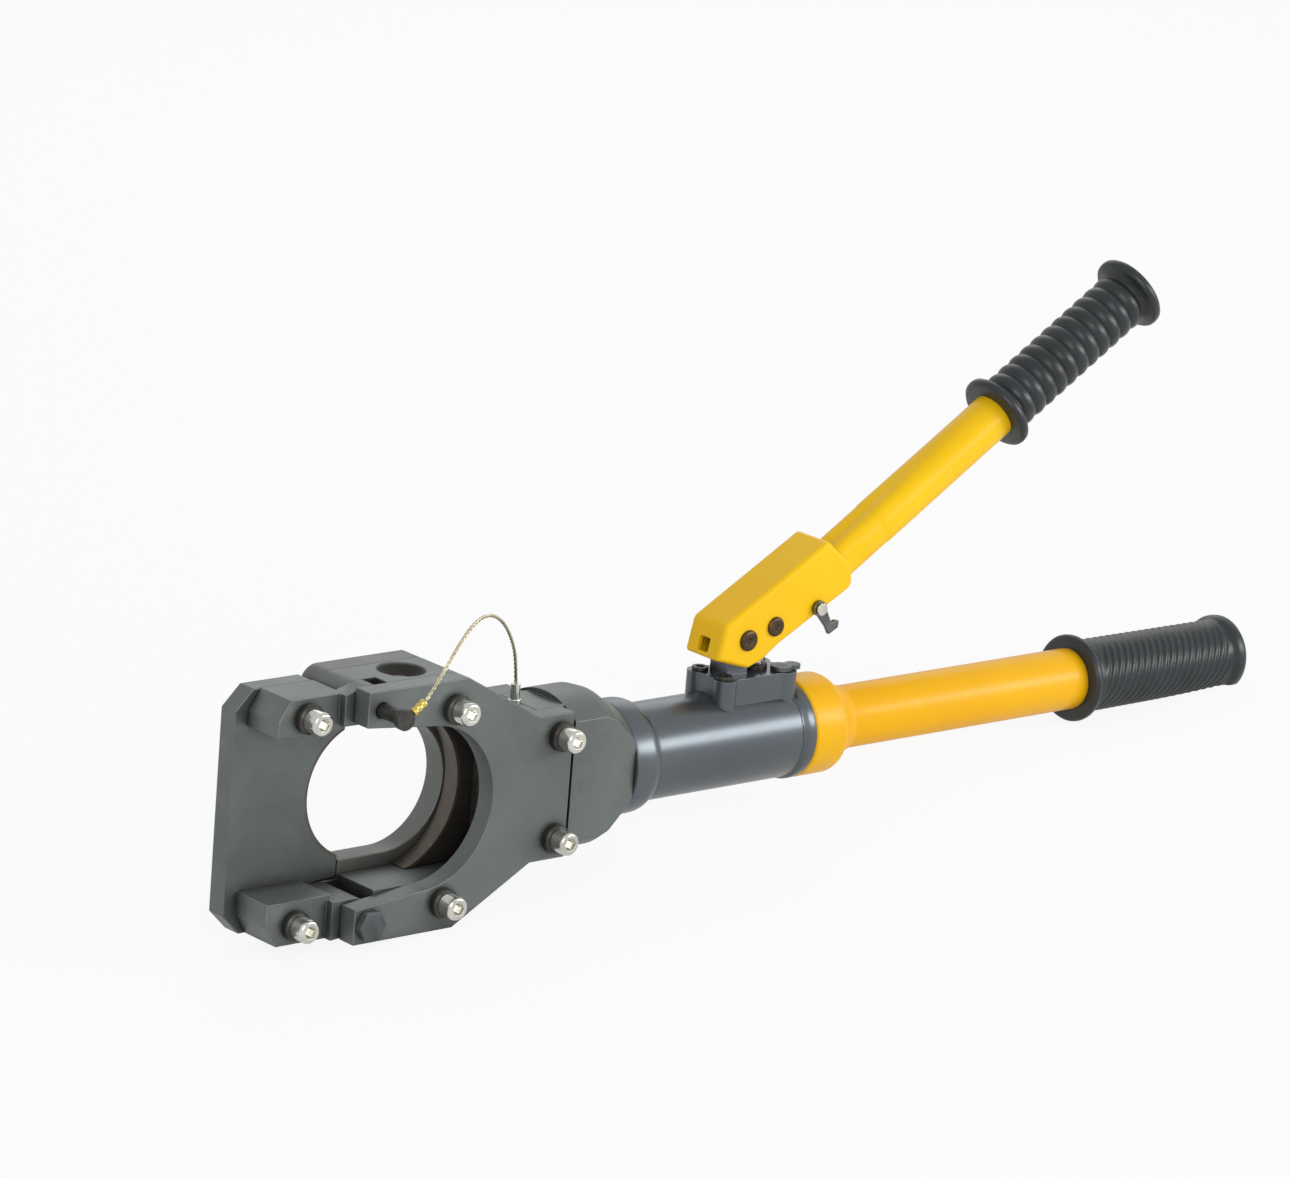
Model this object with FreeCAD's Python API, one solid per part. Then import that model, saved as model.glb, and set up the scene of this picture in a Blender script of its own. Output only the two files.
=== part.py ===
import FreeCAD, Part
import math
import os
from FreeCAD import Vector

# Hand-pumped hydraulic bolt and cable cutter with a guillotine head. Sizes are in millimetres.
# +X runs along the cylinder's axis from the head to the fixed grip, +Y runs from the front cheek
# to the rear cheek, +Z is up. The origin is the centre of the throat, on the cylinder's axis.

# ---- driving dimensions -----------------------------------------------------------------------
RUN = 0.3               # gap between flat faces that slide on each other
BORE_GAP = 0.05         # radial clearance of a running fit or a thread

# head, through its thickness (Y)
HEAD_FRONT = -30.0      # front face of the front cheek
FRONT_CHEEK_T = 12.0
REAR_CHEEK_T = 14.0
HEAD_BACK = 27.0        # back face of the rear cheek
YOKE_T = 12.0           # thickness of the fixed blade plate

# head, side view (X, Z)
HEAD_HALF = 68.0        # half height of the head
THROAT_R = 37.0         # radius of both blades' side of the throat
THROAT_LEFT_X = -3.0    # centre of the fixed blade's arc
THROAT_RIGHT_X = 12.0   # centre of the rear cheek's arc
WINDOW_X = 4.0          # centre of the front cheek's window
WINDOW_R = 44.5
ARM_PAST_PIN = 9.0      # the front cheek's arms end this far left of the pins
ARM_INNER_Z = 49.0
SHOULDER_X = 27.0       # where the sloping shoulders start
NECK_X = 77.0           # where they meet the neck
NECK_HALF = 40.0
CHEEK_END_X = 100.5
CHANNEL_HALF = 44.2     # half height of the moving blade's channel
KNUCKLE_R = 10.4
RAIL_PAST_PARTING = 0.6 # the rails' left end, from the parting line
CHANNEL_TAPER_X = 57.0

# yoke
YOKE_LEFT_X = -90.5
YOKE_TOP_DROP = 4.0     # the yoke's top edge, below the head's
YOKE_CHAMFER = 11.0
PARTING_PAST_PIN = 11.0 # where the yoke meets the rear cheek, right of the pins
PIN_X = -29.0           # hinge bolt and latch pin
GUIDE_FRONT = -13.0     # front face of the guide blocks
GUIDE_INNER_Z = 44.5
GUIDE_LEFT_X = -82.0
GUIDE_TO_PIN = 12.5     # from the guide blocks' right face to the pins
UPPER_KNUCKLE_T = 10.0
HINGE_BOLT_R = 5.0
LATCH_R = 4.0
LATCH_TRAVEL = 16.0
LATCH_PROUD = 20.0      # how far the drawn latch pin stands out of the front cheek

# bolts
BOLT_R = 4.25
BOSS_R = 8.0
BOSS_H = 5.0
BOLT_HEAD_R = 6.4
BOLT_HEAD_H = 9.5
SOCKET_R = 3.2
SOCKET_DEPTH = 4.5
FRAME_BOLT_X = 19.0
FRAME_BOLT_INSET = 15.5 # from the head's top and bottom
NECK_BOLT_X = 92.0
NECK_BOLT_Z = 28.0
GUIDE_BOLT_X = -64.0
GUIDE_BOLT_INSET = 10.5 # from the guide blocks' outer faces

# ram
BLADE_T = 11.0
BLADE_ARC_R = 46.0
BLADE_BACK_X = 84.0
ROD_R = 12.5
ROD_BORE_R = 8.5
SPIGOT_R = 6.0
SPIGOT_LENGTH = 18.0
STROKE = 92.0
PISTON_LENGTH = 17.0

# barrel
FLANGE_LEFT_X = 103.5
FLANGE_R = 43.5
FLANGE_RIM_END_X = 125.0
FLANGE_END_X = 147.0
FLANGE_HALF_Y = 28.0
COLLAR_WALL = 4.75
COLLAR_LENGTH = 18.0
BARREL_R = 26.75
BARREL_BORE_R = 21.0
BARREL_LEFT_X = 129.0
BARREL_END_X = 278.0
BARREL_LIP = 1.25       # how far the lip at the barrel's end stands out
VALVE_BODY_X = 240.2
GLAND_LENGTH = 18.0

# pump
PUMP_LEFT_X = 218.0
PUMP_RIGHT_X = 269.0
PUMP_HALF_Y = 15.0
PUMP_BOTTOM = 20.0
PUMP_TOP = 37.0
PIVOT_X = 233.5
PIVOT_Z = 58.3
LEVER_PIN_R = 4.5
LUG_R = 7.4
LUG_HALF_Y = 7.0
PLUNGER_R = 4.5
PLUNGER_U = 18.9        # plunger pin, along the lever from its pivot
PLUNGER_V = -5.3        # plunger pin, across the lever

# lever
LEVER_REST_DEG = 32.2
FORK_INNER = 11.5
FORK_WALL = 2.5
LEVER_AXIS_V = -8.9
LEVER_TUBE_R = 13.0
LEVER_TUBE_WALL = 2.5
LEVER_GRIP_U = 209.7
LEVER_GRIP_LENGTH = 118.0
LEVER_GRIP_R = 16.5
LEVER_GRIP_FLANGE_R = 22.0
GRIP_FLANGE_T = 6.0
LEVER_RIBS = 11

# fixed handle
COUPLING_END_X = 316.0
TUBE_R = 17.5
TUBE_WALL = 2.0
GRIP_X = 494.0
GRIP_LENGTH = 125.0
GRIP_R = 21.0
GRIP_FLANGE_R = 25.0
GRIP_END_FLANGE_R = 22.5

# lanyard
WIRE_R = 1.0

# ---- worked out from them ---------------------------------------------------------------------
CAVITY_FRONT = HEAD_FRONT + FRONT_CHEEK_T
CAVITY_BACK = HEAD_BACK - REAR_CHEEK_T
PIN_Z = HEAD_HALF - KNUCKLE_R
ARM_TIP_X = PIN_X - ARM_PAST_PIN
PARTING_X = PIN_X + PARTING_PAST_PIN
RAIL_TIP_X = PARTING_X + RAIL_PAST_PARTING
GUIDE_RIGHT_X = PIN_X - GUIDE_TO_PIN
YOKE_TOP_Z = HEAD_HALF - YOKE_TOP_DROP
FRAME_BOLT_Z = HEAD_HALF - FRAME_BOLT_INSET
COLLAR_R = BARREL_R + COLLAR_WALL
BARREL_LIP_R = BARREL_R + BARREL_LIP
BLADE_FRONT = CAVITY_BACK - RUN - BLADE_T
CHANNEL_TAPER_Z = CHANNEL_HALF - 17.0
PISTON_X = VALVE_BODY_X - 2.2 - PISTON_LENGTH
PLUNGER_X = (PIVOT_X + PLUNGER_U * math.cos(math.radians(LEVER_REST_DEG))
             - PLUNGER_V * math.sin(math.radians(LEVER_REST_DEG)))
PLUNGER_Z = (PIVOT_Z + PLUNGER_U * math.sin(math.radians(LEVER_REST_DEG))
             + PLUNGER_V * math.cos(math.radians(LEVER_REST_DEG)))
FORK_HALF = FORK_INNER + FORK_WALL
ALONG_X = Vector(1, 0, 0)
ALONG_Y = Vector(0, 1, 0)
ALONG_Z = Vector(0, 0, 1)


# ---- helpers ----------------------------------------------------------------------------------
def plate(outline, y_low, y_high):
    """A plate whose outline is given in X and Z."""
    points = [Vector(x, y_low, z) for x, z in outline]
    face = Part.Face(Part.makePolygon(points + points[:1]))
    return face.extrude(Vector(0, y_high - y_low, 0))


def round_x(x_low, x_high, radius, y=0.0, z=0.0):
    return Part.makeCylinder(radius, x_high - x_low, Vector(x_low, y, z), ALONG_X)


def round_y(x, z, y_low, y_high, radius):
    return Part.makeCylinder(radius, y_high - y_low, Vector(x, y_low, z), ALONG_Y)


def round_z(x, y, z_low, z_high, radius):
    return Part.makeCylinder(radius, z_high - z_low, Vector(x, y, z_low), ALONG_Z)


def box(x_low, x_high, y_low, y_high, z_low, z_high):
    size = (x_high - x_low, y_high - y_low, z_high - z_low)
    return Part.makeBox(*size, Vector(x_low, y_low, z_low))


def turned(profile):
    """A solid of revolution about the X axis, from points of (x, radius)."""
    points = [Vector(x, 0, radius) for x, radius in profile]
    face = Part.Face(Part.makePolygon(points + points[:1]))
    return face.revolve(Vector(0, 0, 0), ALONG_X, 360)


def mirrored_outline(upper):
    """Closes an outline of upper points, left to right, with its mirror below Z = 0."""
    return upper + [(x, -z) for x, z in reversed(upper)]


def flip(outline, side):
    return [(x, z * side) for x, z in outline]


def hex_prism(x, z, y_low, y_high, across):
    corner = across / math.sqrt(3)
    outline = [(x + corner * math.cos(math.radians(60 * step)),
                z + corner * math.sin(math.radians(60 * step))) for step in range(6)]
    return plate(outline, y_low, y_high)


def edges_at(shape, test):
    return [edge for edge in shape.Edges if test(edge)]


def sides():
    return (1, -1)


# ---- head frame -------------------------------------------------------------------------------
def frame_outline():
    return mirrored_outline([(ARM_TIP_X, HEAD_HALF), (SHOULDER_X, HEAD_HALF),
                             (NECK_X, NECK_HALF), (CHEEK_END_X, NECK_HALF)])


def bolt_holes(shape, y_low, y_high):
    for side in sides():
        shape = shape.cut(round_y(FRAME_BOLT_X, side * FRAME_BOLT_Z, y_low, y_high, BOLT_R + BORE_GAP))
        shape = shape.cut(round_y(NECK_BOLT_X, side * NECK_BOLT_Z, y_low, y_high, BOLT_R + BORE_GAP))
    return shape


def front_cheek():
    cheek = plate(frame_outline(), HEAD_FRONT, CAVITY_FRONT)
    cheek = cheek.cut(round_y(WINDOW_X, 0, HEAD_FRONT, CAVITY_FRONT, WINDOW_R))
    mouth = [(WINDOW_X, WINDOW_R), (ARM_TIP_X - 1, ARM_INNER_Z), (ARM_TIP_X - 1, -ARM_INNER_Z),
             (WINDOW_X, -WINDOW_R)]
    cheek = cheek.cut(plate(mouth, HEAD_FRONT, CAVITY_FRONT))
    cheek = cheek.cut(round_y(PIN_X, -PIN_Z, HEAD_FRONT, CAVITY_FRONT, HINGE_BOLT_R + BORE_GAP))
    cheek = cheek.cut(round_y(PIN_X, PIN_Z, HEAD_FRONT, CAVITY_FRONT, LATCH_R + BORE_GAP))
    return bolt_holes(cheek, HEAD_FRONT, CAVITY_FRONT)


def rear_cheek():
    parting = PARTING_X + 0.5
    cheek = plate(frame_outline(), CAVITY_BACK, HEAD_BACK)
    cheek = cheek.cut(round_y(THROAT_RIGHT_X, 0, CAVITY_BACK, HEAD_BACK, THROAT_R))
    cheek = cheek.cut(box(parting, THROAT_RIGHT_X, CAVITY_BACK, HEAD_BACK, -THROAT_R, THROAT_R))
    cheek = cheek.cut(box(ARM_TIP_X - 1, parting, CAVITY_BACK, HEAD_BACK, -HEAD_HALF, HEAD_HALF))
    for side in sides():
        low, high = sorted((side * (PIN_Z - KNUCKLE_R), side * HEAD_HALF))
        arm = box(PIN_X, parting, CAVITY_BACK, HEAD_BACK, low, high)
        cheek = cheek.fuse(arm.fuse(round_y(PIN_X, side * PIN_Z, CAVITY_BACK, HEAD_BACK, KNUCKLE_R)))
    cheek = cheek.removeSplitter()
    cheek = cheek.cut(round_y(PIN_X, -PIN_Z, CAVITY_BACK, HEAD_BACK, HINGE_BOLT_R + BORE_GAP))
    return bolt_holes(cheek, CAVITY_BACK, HEAD_BACK)


def rail_outline():
    return [(RAIL_TIP_X, CHANNEL_HALF), (RAIL_TIP_X, HEAD_HALF), (SHOULDER_X, HEAD_HALF),
            (NECK_X, NECK_HALF), (BLADE_BACK_X, NECK_HALF), (BLADE_BACK_X, CHANNEL_TAPER_Z),
            (CHANNEL_TAPER_X, CHANNEL_HALF)]


SCOOP_X = 4.0
SCOOP_Y = -2.0
SCOOP_R = 16.0
SCOOP_DEPTH = 7.0
LOCK_SCREW_R = 4.5


def upper_rail():
    rail = plate(rail_outline(), CAVITY_FRONT, CAVITY_BACK)
    receiver_front = CAVITY_FRONT + RUN + UPPER_KNUCKLE_T + RUN
    receiver = round_y(PIN_X, PIN_Z, receiver_front, CAVITY_BACK, KNUCKLE_R)
    receiver = receiver.fuse(box(PIN_X, RAIL_TIP_X, receiver_front, CAVITY_BACK,
                                 PIN_Z - KNUCKLE_R, HEAD_HALF))
    rail = rail.fuse(receiver).removeSplitter()
    latch_hole_end = HEAD_FRONT - LATCH_PROUD + latch_length() + LATCH_TRAVEL + 1
    rail = rail.cut(round_y(PIN_X, PIN_Z, receiver_front, latch_hole_end, LATCH_R + BORE_GAP))
    scoop = Part.makeSphere(SCOOP_R, Vector(SCOOP_X, SCOOP_Y, HEAD_HALF + SCOOP_R - SCOOP_DEPTH))
    rail = rail.cut(scoop)
    rail = rail.cut(round_z(SCOOP_X, SCOOP_Y, lock_screw_bottom(), HEAD_HALF, LOCK_SCREW_R + BORE_GAP))
    return bolt_holes(rail, CAVITY_FRONT, CAVITY_BACK)


def lower_rail():
    return bolt_holes(plate(flip(rail_outline(), -1), CAVITY_FRONT, CAVITY_BACK),
                      CAVITY_FRONT, CAVITY_BACK)


def lock_screw_bottom():
    return CHANNEL_HALF + 3


def rail_lock_screw():
    top = HEAD_HALF - SCOOP_DEPTH + 2.5
    screw = round_z(SCOOP_X, SCOOP_Y, lock_screw_bottom(), top, LOCK_SCREW_R)
    return screw.cut(round_z(SCOOP_X, SCOOP_Y, top - 3, top, 2.2))


def socket_bolt(x, z, seat, tip):
    """A bright socket bolt standing on a dark boss, with its shank run to the tip."""
    head_front = seat - BOSS_H - BOLT_HEAD_H
    head = round_y(x, z, head_front, seat - BOSS_H, BOLT_HEAD_R)
    rim = edges_at(head, lambda edge: abs(edge.BoundBox.YMax - head_front) < 0.01)
    head = head.makeFillet(2.0, rim)
    bolt = head.fuse(round_y(x, z, seat - BOSS_H, tip, BOLT_R))
    return bolt.cut(hex_prism(x, z, head_front, head_front + SOCKET_DEPTH, 2 * SOCKET_R))


def bolt_boss(x, z, seat):
    boss = round_y(x, z, seat - BOSS_H, seat, BOSS_R)
    rim = edges_at(boss, lambda edge: abs(edge.BoundBox.YMax - (seat - BOSS_H)) < 0.01)
    boss = boss.makeChamfer(1.2, rim)
    return boss.cut(round_y(x, z, seat - BOSS_H, seat, BOLT_R + BORE_GAP))


def frame_bolts():
    return Part.makeCompound([socket_bolt(FRAME_BOLT_X, side * FRAME_BOLT_Z, HEAD_FRONT, HEAD_BACK)
                              for side in sides()])


def neck_bolts():
    return Part.makeCompound([socket_bolt(NECK_BOLT_X, side * NECK_BOLT_Z, HEAD_FRONT, HEAD_BACK)
                              for side in sides()])


def frame_bosses():
    return Part.makeCompound([bolt_boss(FRAME_BOLT_X, side * FRAME_BOLT_Z, HEAD_FRONT)
                              for side in sides()])


def neck_bosses():
    return Part.makeCompound([bolt_boss(NECK_BOLT_X, side * NECK_BOLT_Z, HEAD_FRONT)
                              for side in sides()])


HINGE_HEAD_H = 5.0
HINGE_HEAD_ACROSS = 15.0


def hinge_bolt():
    head = hex_prism(PIN_X, -PIN_Z, HEAD_FRONT - HINGE_HEAD_H, HEAD_FRONT, HINGE_HEAD_ACROSS)
    return head.fuse(round_y(PIN_X, -PIN_Z, HEAD_FRONT, HEAD_BACK, HINGE_BOLT_R))


# ---- yoke -------------------------------------------------------------------------------------
def yoke_plate():
    step_x = PIN_X - KNUCKLE_R - 2.6
    step_z = PIN_Z - KNUCKLE_R - 0.5
    inner = [(step_x, PIN_Z), (PIN_X, PIN_Z), (PIN_X, step_z), (PARTING_X, step_z)]
    outline = [(YOKE_LEFT_X, YOKE_TOP_Z - YOKE_CHAMFER), (YOKE_LEFT_X + YOKE_CHAMFER, YOKE_TOP_Z),
               (step_x, YOKE_TOP_Z)] + mirrored_outline(inner)
    outline += [(step_x, -HEAD_HALF), (YOKE_LEFT_X + YOKE_CHAMFER, -HEAD_HALF),
                (YOKE_LEFT_X, -HEAD_HALF + YOKE_CHAMFER)]
    back = CAVITY_BACK + YOKE_T
    blade = plate(outline, CAVITY_BACK, back)
    blade = blade.cut(round_y(THROAT_LEFT_X, 0, CAVITY_BACK, back, THROAT_R))
    for side in sides():
        blade = blade.cut(round_y(PIN_X, side * PIN_Z, CAVITY_BACK, back, KNUCKLE_R + 0.5))
        blade = blade.cut(round_y(GUIDE_BOLT_X, guide_bolt_z(side), CAVITY_BACK, back,
                                  BOLT_R + BORE_GAP))
    return blade


def guide_outer_z(side):
    """The guide blocks end flush with the yoke plate's top and bottom edges."""
    return YOKE_TOP_Z if side > 0 else HEAD_HALF


def guide_bolt_z(side):
    return side * (guide_outer_z(side) - GUIDE_BOLT_INSET)


def guide_block(side, knuckle_front, knuckle_back, knuckle_bore):
    """A block on the yoke plate that guides the moving blade and carries one knuckle."""
    outer_z = guide_outer_z(side)
    outline = [(GUIDE_LEFT_X, GUIDE_INNER_Z), (GUIDE_LEFT_X, outer_z - YOKE_CHAMFER),
               (GUIDE_LEFT_X + 7, outer_z), (GUIDE_RIGHT_X, outer_z), (GUIDE_RIGHT_X, GUIDE_INNER_Z)]
    block = plate(flip(outline, side), GUIDE_FRONT, CAVITY_BACK)
    strap = [(GUIDE_RIGHT_X - 2, PIN_Z - KNUCKLE_R), (GUIDE_RIGHT_X - 2, outer_z),
             (PIN_X - 4, HEAD_HALF - 0.8), (PIN_X, HEAD_HALF - 0.8), (PIN_X, PIN_Z - KNUCKLE_R)]
    knuckle = plate(flip(strap, side), knuckle_front, knuckle_back)
    knuckle = knuckle.fuse(round_y(PIN_X, side * PIN_Z, knuckle_front, knuckle_back, KNUCKLE_R))
    block = block.fuse(knuckle).removeSplitter()
    block = block.cut(round_y(PIN_X, side * PIN_Z, knuckle_front, knuckle_back, knuckle_bore))
    return block.cut(round_y(GUIDE_BOLT_X, guide_bolt_z(side), GUIDE_FRONT, CAVITY_BACK,
                             BOLT_R + BORE_GAP))


def upper_guide_block():
    front = CAVITY_FRONT + RUN
    return guide_block(1, front, front + UPPER_KNUCKLE_T, LATCH_R + BORE_GAP)


def lower_guide_block():
    return guide_block(-1, CAVITY_FRONT + RUN, CAVITY_BACK - RUN, HINGE_BOLT_R + BORE_GAP)


def guide_bolts():
    return Part.makeCompound([socket_bolt(GUIDE_BOLT_X, guide_bolt_z(side), GUIDE_FRONT,
                                          CAVITY_BACK + YOKE_T) for side in sides()])


def guide_bosses():
    return Part.makeCompound([bolt_boss(GUIDE_BOLT_X, guide_bolt_z(side), GUIDE_FRONT)
                              for side in sides()])


# ---- latch pin and lanyard --------------------------------------------------------------------
CRIMP_R = 2.4
CRIMP_LENGTH = 10.0
PIN_HEAD_R = 5.6
PIN_HEAD_T = 4.0
CRIMP_DIRECTION = Vector(0.82, 0, 0.56)
WIRE_GAP = 0.5          # the wire's end turns a little in the crimp's mouth
LANYARD_ROUTE = [(-4, -46, 78.5), (9, -42, 92), (23, -36.5, 100.5), (38, -30, 101),
                 (54, -22, 92.5), (67, -14.5, 79), (76, -8, 65.5)]
ANCHOR_Y = -4.0
ANCHOR_R = 3.4
ANCHOR_HEIGHT = 11.0
ANCHOR_X = NECK_X + ANCHOR_R
WIRE_LIFT = 0.4         # the slanted wire is swaged into the anchor's top by its lower edge


def latch_length():
    return LATCH_PROUD + FRONT_CHEEK_T - 0.5


def latch_pin():
    outer = HEAD_FRONT - LATCH_PROUD
    pin = round_y(PIN_X, PIN_Z, outer, outer + latch_length(), LATCH_R)
    head = round_y(PIN_X, PIN_Z, outer, outer + PIN_HEAD_T, PIN_HEAD_R)
    return pin.fuse(head)


def crimp_start():
    direction = Vector(CRIMP_DIRECTION).normalize()
    seated_clear = HEAD_FRONT - LATCH_PROUD + PIN_HEAD_T - CRIMP_R - RUN
    return Vector(PIN_X, seated_clear, PIN_Z) + direction * (PIN_HEAD_R - 1)


def crimp_end():
    return crimp_start() + Vector(CRIMP_DIRECTION).normalize() * CRIMP_LENGTH


def lanyard_crimp():
    crimp = Part.makeCylinder(CRIMP_R, CRIMP_LENGTH, crimp_start(), CRIMP_DIRECTION)
    return crimp.cut(latch_pin())


def anchor_point():
    return Vector(ANCHOR_X, ANCHOR_Y, NECK_HALF + ANCHOR_HEIGHT + WIRE_LIFT)


def lanyard_anchor():
    base = round_z(ANCHOR_X, ANCHOR_Y, NECK_HALF, NECK_HALF + 2.5, ANCHOR_R)
    return base.fuse(round_z(ANCHOR_X, ANCHOR_Y, NECK_HALF, NECK_HALF + ANCHOR_HEIGHT, ANCHOR_R - 0.8))


def rounded_route(points):
    """Straight runs joined by tangent arcs, each as large as its two runs allow."""
    edges = []
    start = points[0]
    for before, corner, after in zip(points, points[1:], points[2:]):
        back = before - corner
        ahead = after - corner
        half_turn = (math.pi - back.getAngle(ahead)) / 2
        setback = 0.45 * min(back.Length, ahead.Length)
        radius = setback / math.tan(half_turn)
        back.normalize()
        ahead.normalize()
        arc_start = corner + back * setback
        arc_end = corner + ahead * setback
        middle = (back + ahead).normalize()
        arc_middle = corner + middle * (radius / math.cos(half_turn) - radius)
        edges.append(Part.LineSegment(start, arc_start).toShape())
        edges.append(Part.Arc(arc_start, arc_middle, arc_end).toShape())
        start = arc_end
        print("lanyard bend radius %.1f" % radius)
    edges.append(Part.LineSegment(start, points[-1]).toShape())
    return Part.Wire(edges)


def lanyard_wire():
    start = crimp_end() + Vector(CRIMP_DIRECTION).normalize() * WIRE_GAP
    points = [start] + [Vector(*point) for point in LANYARD_ROUTE] + [anchor_point()]
    path = rounded_route(points)
    section = Part.Wire(Part.Circle(points[0], points[1] - points[0], WIRE_R).toShape())
    wire = path.makePipeShell([section], True, True)
    print("lanyard length %.1f, volume %.1f, section by length %.1f"
          % (path.Length, wire.Volume, path.Length * math.pi * WIRE_R ** 2))
    return wire


# ---- ram --------------------------------------------------------------------------------------
HOLDER_LEFT_X = 60.0
HOLDER_HALF = 26.0
BLADE_SCREW_X = 74.0
BLADE_SCREW_Z = 18.0
BLADE_SCREW_R = 3.0


def moving_blade():
    half = CHANNEL_HALF - 0.5
    outline = mirrored_outline([(WINDOW_X, half), (CHANNEL_TAPER_X - 0.6, half),
                                (BLADE_BACK_X, CHANNEL_TAPER_Z - 0.7)])
    back = BLADE_FRONT + BLADE_T
    blade = plate(outline, BLADE_FRONT, back)
    blade = blade.cut(round_y(WINDOW_X, 0, BLADE_FRONT, back, BLADE_ARC_R))
    blade = blade.cut(round_x(BLADE_BACK_X - SPIGOT_LENGTH, BLADE_BACK_X, SPIGOT_R + BORE_GAP))
    for side in sides():
        blade = blade.cut(round_y(BLADE_SCREW_X, side * BLADE_SCREW_Z, BLADE_FRONT, back - 2,
                                  BLADE_SCREW_R + BORE_GAP))
    return blade


def blade_holder():
    front = CAVITY_FRONT + RUN
    holder = box(HOLDER_LEFT_X, BLADE_BACK_X, front, BLADE_FRONT, -HOLDER_HALF, HOLDER_HALF)
    holder = holder.cut(round_x(BLADE_BACK_X - SPIGOT_LENGTH, BLADE_BACK_X, SPIGOT_R + BORE_GAP))
    for side in sides():
        holder = holder.cut(round_y(BLADE_SCREW_X, side * BLADE_SCREW_Z, front, BLADE_FRONT,
                                    BLADE_SCREW_R + BORE_GAP))
        holder = holder.cut(round_y(BLADE_SCREW_X, side * BLADE_SCREW_Z, front, front + 6.5, 5.2))
    return holder


def blade_screws():
    front = CAVITY_FRONT + RUN + 0.5
    screws = []
    for side in sides():
        screw = round_y(BLADE_SCREW_X, side * BLADE_SCREW_Z, front, front + 6, 5.0)
        screw = screw.fuse(round_y(BLADE_SCREW_X, side * BLADE_SCREW_Z, front + 6,
                                   BLADE_FRONT + BLADE_T - 2.5, BLADE_SCREW_R))
        screws.append(screw.cut(hex_prism(BLADE_SCREW_X, side * BLADE_SCREW_Z, front, front + 3, 4)))
    return Part.makeCompound(screws)


def ram_rod():
    rod = round_x(BLADE_BACK_X, PISTON_X, ROD_R).fuse(
        round_x(BLADE_BACK_X - SPIGOT_LENGTH + 0.5, BLADE_BACK_X, SPIGOT_R))
    rod = rod.fuse(round_x(PISTON_X, PISTON_X + PISTON_LENGTH, ROD_R - 1.5))
    return rod.cut(round_x(BLADE_BACK_X + 14, PISTON_X + PISTON_LENGTH, ROD_BORE_R))


SEAL_WIDTH = 5.0
SEAL_DEPTH = 3.0


def piston():
    end = PISTON_X + PISTON_LENGTH
    body = round_x(PISTON_X, end, BARREL_BORE_R - BORE_GAP).cut(
        round_x(PISTON_X, end, ROD_R - 1.5 + BORE_GAP))
    groove_x = PISTON_X + (PISTON_LENGTH - SEAL_WIDTH) / 2
    groove = round_x(groove_x, groove_x + SEAL_WIDTH, BARREL_BORE_R)
    groove = groove.cut(round_x(groove_x, groove_x + SEAL_WIDTH, BARREL_BORE_R - SEAL_DEPTH))
    return body.cut(groove)


def piston_seal():
    seal_x = PISTON_X + (PISTON_LENGTH - SEAL_WIDTH) / 2
    seal = round_x(seal_x, seal_x + SEAL_WIDTH, BARREL_BORE_R - BORE_GAP / 2)
    return seal.cut(round_x(seal_x, seal_x + SEAL_WIDTH, BARREL_BORE_R - SEAL_DEPTH))


SPRING_WIRE_R = 1.2
SPRING_R = 6.2
SPRING_TURNS = 14
SPRING_STUD_LENGTH = 12.0


def return_spring():
    start = BLADE_BACK_X + 14 + SPRING_WIRE_R + 0.1
    end = VALVE_BODY_X - SPRING_WIRE_R - 0.1
    helix = Part.makeHelix((end - start) / SPRING_TURNS, end - start, SPRING_R)
    section = Part.Wire(Part.Circle(Vector(SPRING_R, 0, 0), ALONG_Y, SPRING_WIRE_R).toShape())
    spring = helix.makePipeShell([section], True, True)
    spring.rotate(Vector(0, 0, 0), ALONG_Y, 90)
    spring.translate(Vector(start, 0, 0))
    return spring


# ---- barrel -----------------------------------------------------------------------------------
def base_flange():
    rim = turned([(FLANGE_LEFT_X, 0), (FLANGE_LEFT_X, FLANGE_R), (FLANGE_RIM_END_X, FLANGE_R),
                  (FLANGE_RIM_END_X + 7, FLANGE_R - 2.2), (FLANGE_RIM_END_X + 14, FLANGE_R - 7),
                  (FLANGE_END_X - 2, COLLAR_R + 1.5), (FLANGE_END_X, COLLAR_R - 0.5),
                  (FLANGE_END_X, 0)])
    slab = box(FLANGE_LEFT_X, FLANGE_END_X, -FLANGE_HALF_Y, FLANGE_HALF_Y, -FLANGE_R, FLANGE_R)
    flange = rim.common(slab)
    tongue = box(BLADE_BACK_X + RUN, FLANGE_LEFT_X, CAVITY_FRONT, CAVITY_BACK, -NECK_HALF, NECK_HALF)
    flange = flange.fuse(tongue)
    flange = flange.cut(round_x(BLADE_BACK_X, FLANGE_END_X, ROD_R + 2 * BORE_GAP))
    flange = flange.cut(round_x(BARREL_LEFT_X - GLAND_LENGTH, FLANGE_END_X, BARREL_BORE_R + BORE_GAP))
    flange = flange.cut(round_x(BARREL_LEFT_X, FLANGE_END_X, BARREL_R + BORE_GAP))
    return bolt_holes(flange, CAVITY_FRONT, CAVITY_BACK)


def rod_gland():
    gland = round_x(BARREL_LEFT_X - GLAND_LENGTH, BARREL_LEFT_X, BARREL_BORE_R)
    return gland.cut(round_x(BARREL_LEFT_X - GLAND_LENGTH, BARREL_LEFT_X, ROD_R + BORE_GAP))


def collar_nut():
    end = FLANGE_END_X + COLLAR_LENGTH
    nut = turned([(FLANGE_END_X, BARREL_R + BORE_GAP), (FLANGE_END_X, COLLAR_R - 1),
                  (FLANGE_END_X + 1, COLLAR_R), (end - 3, COLLAR_R), (end, COLLAR_R - 3),
                  (end, BARREL_R + BORE_GAP)])
    return nut


PLUNGER_BOSS_R = 7.5
PLUNGER_BORE_BOTTOM = 10.0


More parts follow.
